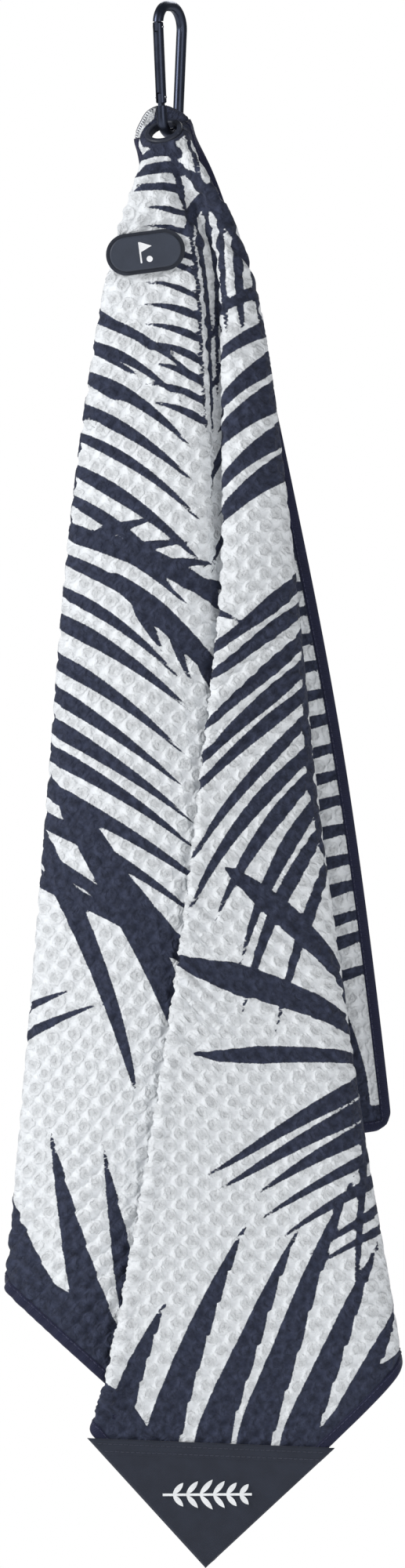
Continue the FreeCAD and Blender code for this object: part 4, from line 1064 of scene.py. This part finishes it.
def make_spring():
    """Closed-end compression spring in the gate."""
    low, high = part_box("gate_spring")
    side = unit(np.cross(GATE_AXIS, [0, 1, 0]))
    other = np.cross(GATE_AXIS, side)
    centre = (np.array(low) + np.array(high)) / 2
    length = high[2] - low[2] - 2.2 * SPRING_WIRE
    t = np.linspace(0, 1, 241)
    rise = np.interp(t, [0, 0.08, 0.92, 1], [0, 0.05, 0.95, 1])
    turn = 2 * math.pi * SPRING_TURNS * t
    line = (centre + GATE_AXIS * ((rise - 0.5) * length)[:, None]
            + SPRING_RADIUS * (np.cos(turn)[:, None] * side + np.sin(turn)[:, None] * other))
    wire = finish_coat("spring_wire", "8d9096", 1.0, 0.2, 0.35, 0.3 * MM, 0.006)
    spring = mesh_from_arrays("gate_coil_spring", *thread_tube(line, SPRING_WIRE))
    dress(spring, "pin_steel", wire, "gate_spring", body="gate")
    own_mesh(spring)


def pad_rubber():
    """Soft-touch rubber of one colour: the crowned face is painted paler than the flange as painted light,
    and the step between is painted darkest as painted shade.
    """
    s = Shader("moulded_rubber", Specular_IOR_Level=0.4)
    place = s.place()
    depth = s.add("ShaderNodeSeparateXYZ", "Y", {0: place})
    flange, painted_light_crown = s.smooth(depth, -14.7 * MM, -14.2 * MM), s.smooth(depth, -16.3 * MM, -17.1 * MM)
    grain, cloud = s.noise(place, 0.3 * MM, 3), s.noise(place, 8 * MM, 3)
    # painted light on the crowned face and painted shade in the step, set by height on one rubber part
    tint = s.mix(painted_light_crown, "191c25", "363c49")
    tint = s.mix(flange, tint, "2c313d")
    mottle = s.math("MULTIPLY", s.smooth(grain, 0.3, 0.7, 0.92, 1.08), s.smooth(cloud, 0.3, 0.7, 0.93, 1.08))
    return s.finish(colour=s.shade(tint, mottle), roughness=s.smooth(cloud, 0.3, 0.7, 0.46, 0.6),
                    height=s.math("MULTIPLY", grain, 0.035))


def finish_hardware():
    """Better materials for the CAD nodes that stay in view; their shapes are not touched."""
    pale, dark = "8d9096", "252a38"
    finishes = [
        (finish_coat("anodised_slate", "3d4250", 1.0, 0.33, 0.41, 0.25 * MM, 0.003),
         "carabiner_frame", "carabiner_gate", "gate_plunger"),
        (finish_coat("pin_steel", pale, 1.0, 0.22, 0.4, 0.3 * MM, 0.01),
         "gate_hinge_pin", "gate_latch_pin", "gate_spring"),
        (finish_coat("painted_ring", dark, 0.0, 0.42, 0.6, 0.4 * MM, 0.02, "555a66",
                     Specular_IOR_Level=0.5), "grommet_front", "grommet_back"),
        (pad_rubber(), "magnet_pad_cover", "magnet_pad_back"),
        (finish_coat("white_inlay", "f0f1f3", 0.0, 0.4, 0.55, 0.3 * MM, 0.015),
         "pad_pictogram", "pad_ball_mark"),
        (finish_coat("magnet_plating", "b9bcc2", 1.0, 0.18, 0.34, 0.5 * MM, 0.01), "pad_magnet"),
        (finish_coat("emblem_print", "eceef0", 0.0, 0.45, 0.65, 0.5 * MM, 0.03), "patch_emblem"),
    ]
    for material, *names in finishes:
        for name in names:
            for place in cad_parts[name].material_slots:
                place.material = material


# ---------------- make everything

bpy.context.scene.view_settings.view_transform = "Standard"
make_sky()
for light_name, light in LIGHTS.items():
    make_light(light_name, *light)
make_floor()
make_camera()
middle = refine(hanging_sheet())
middle_normal = grid_normals(middle)
hem = Hem(middle, middle_normal)
towel = make_cloth(middle, middle_normal)
trim = [make_binding(hem), make_hem_stitches(hem), make_overlock(hem)]
patch = make_patch()
patch_trim = [make_patch_stitches()]
finish_hardware()
make_spring()
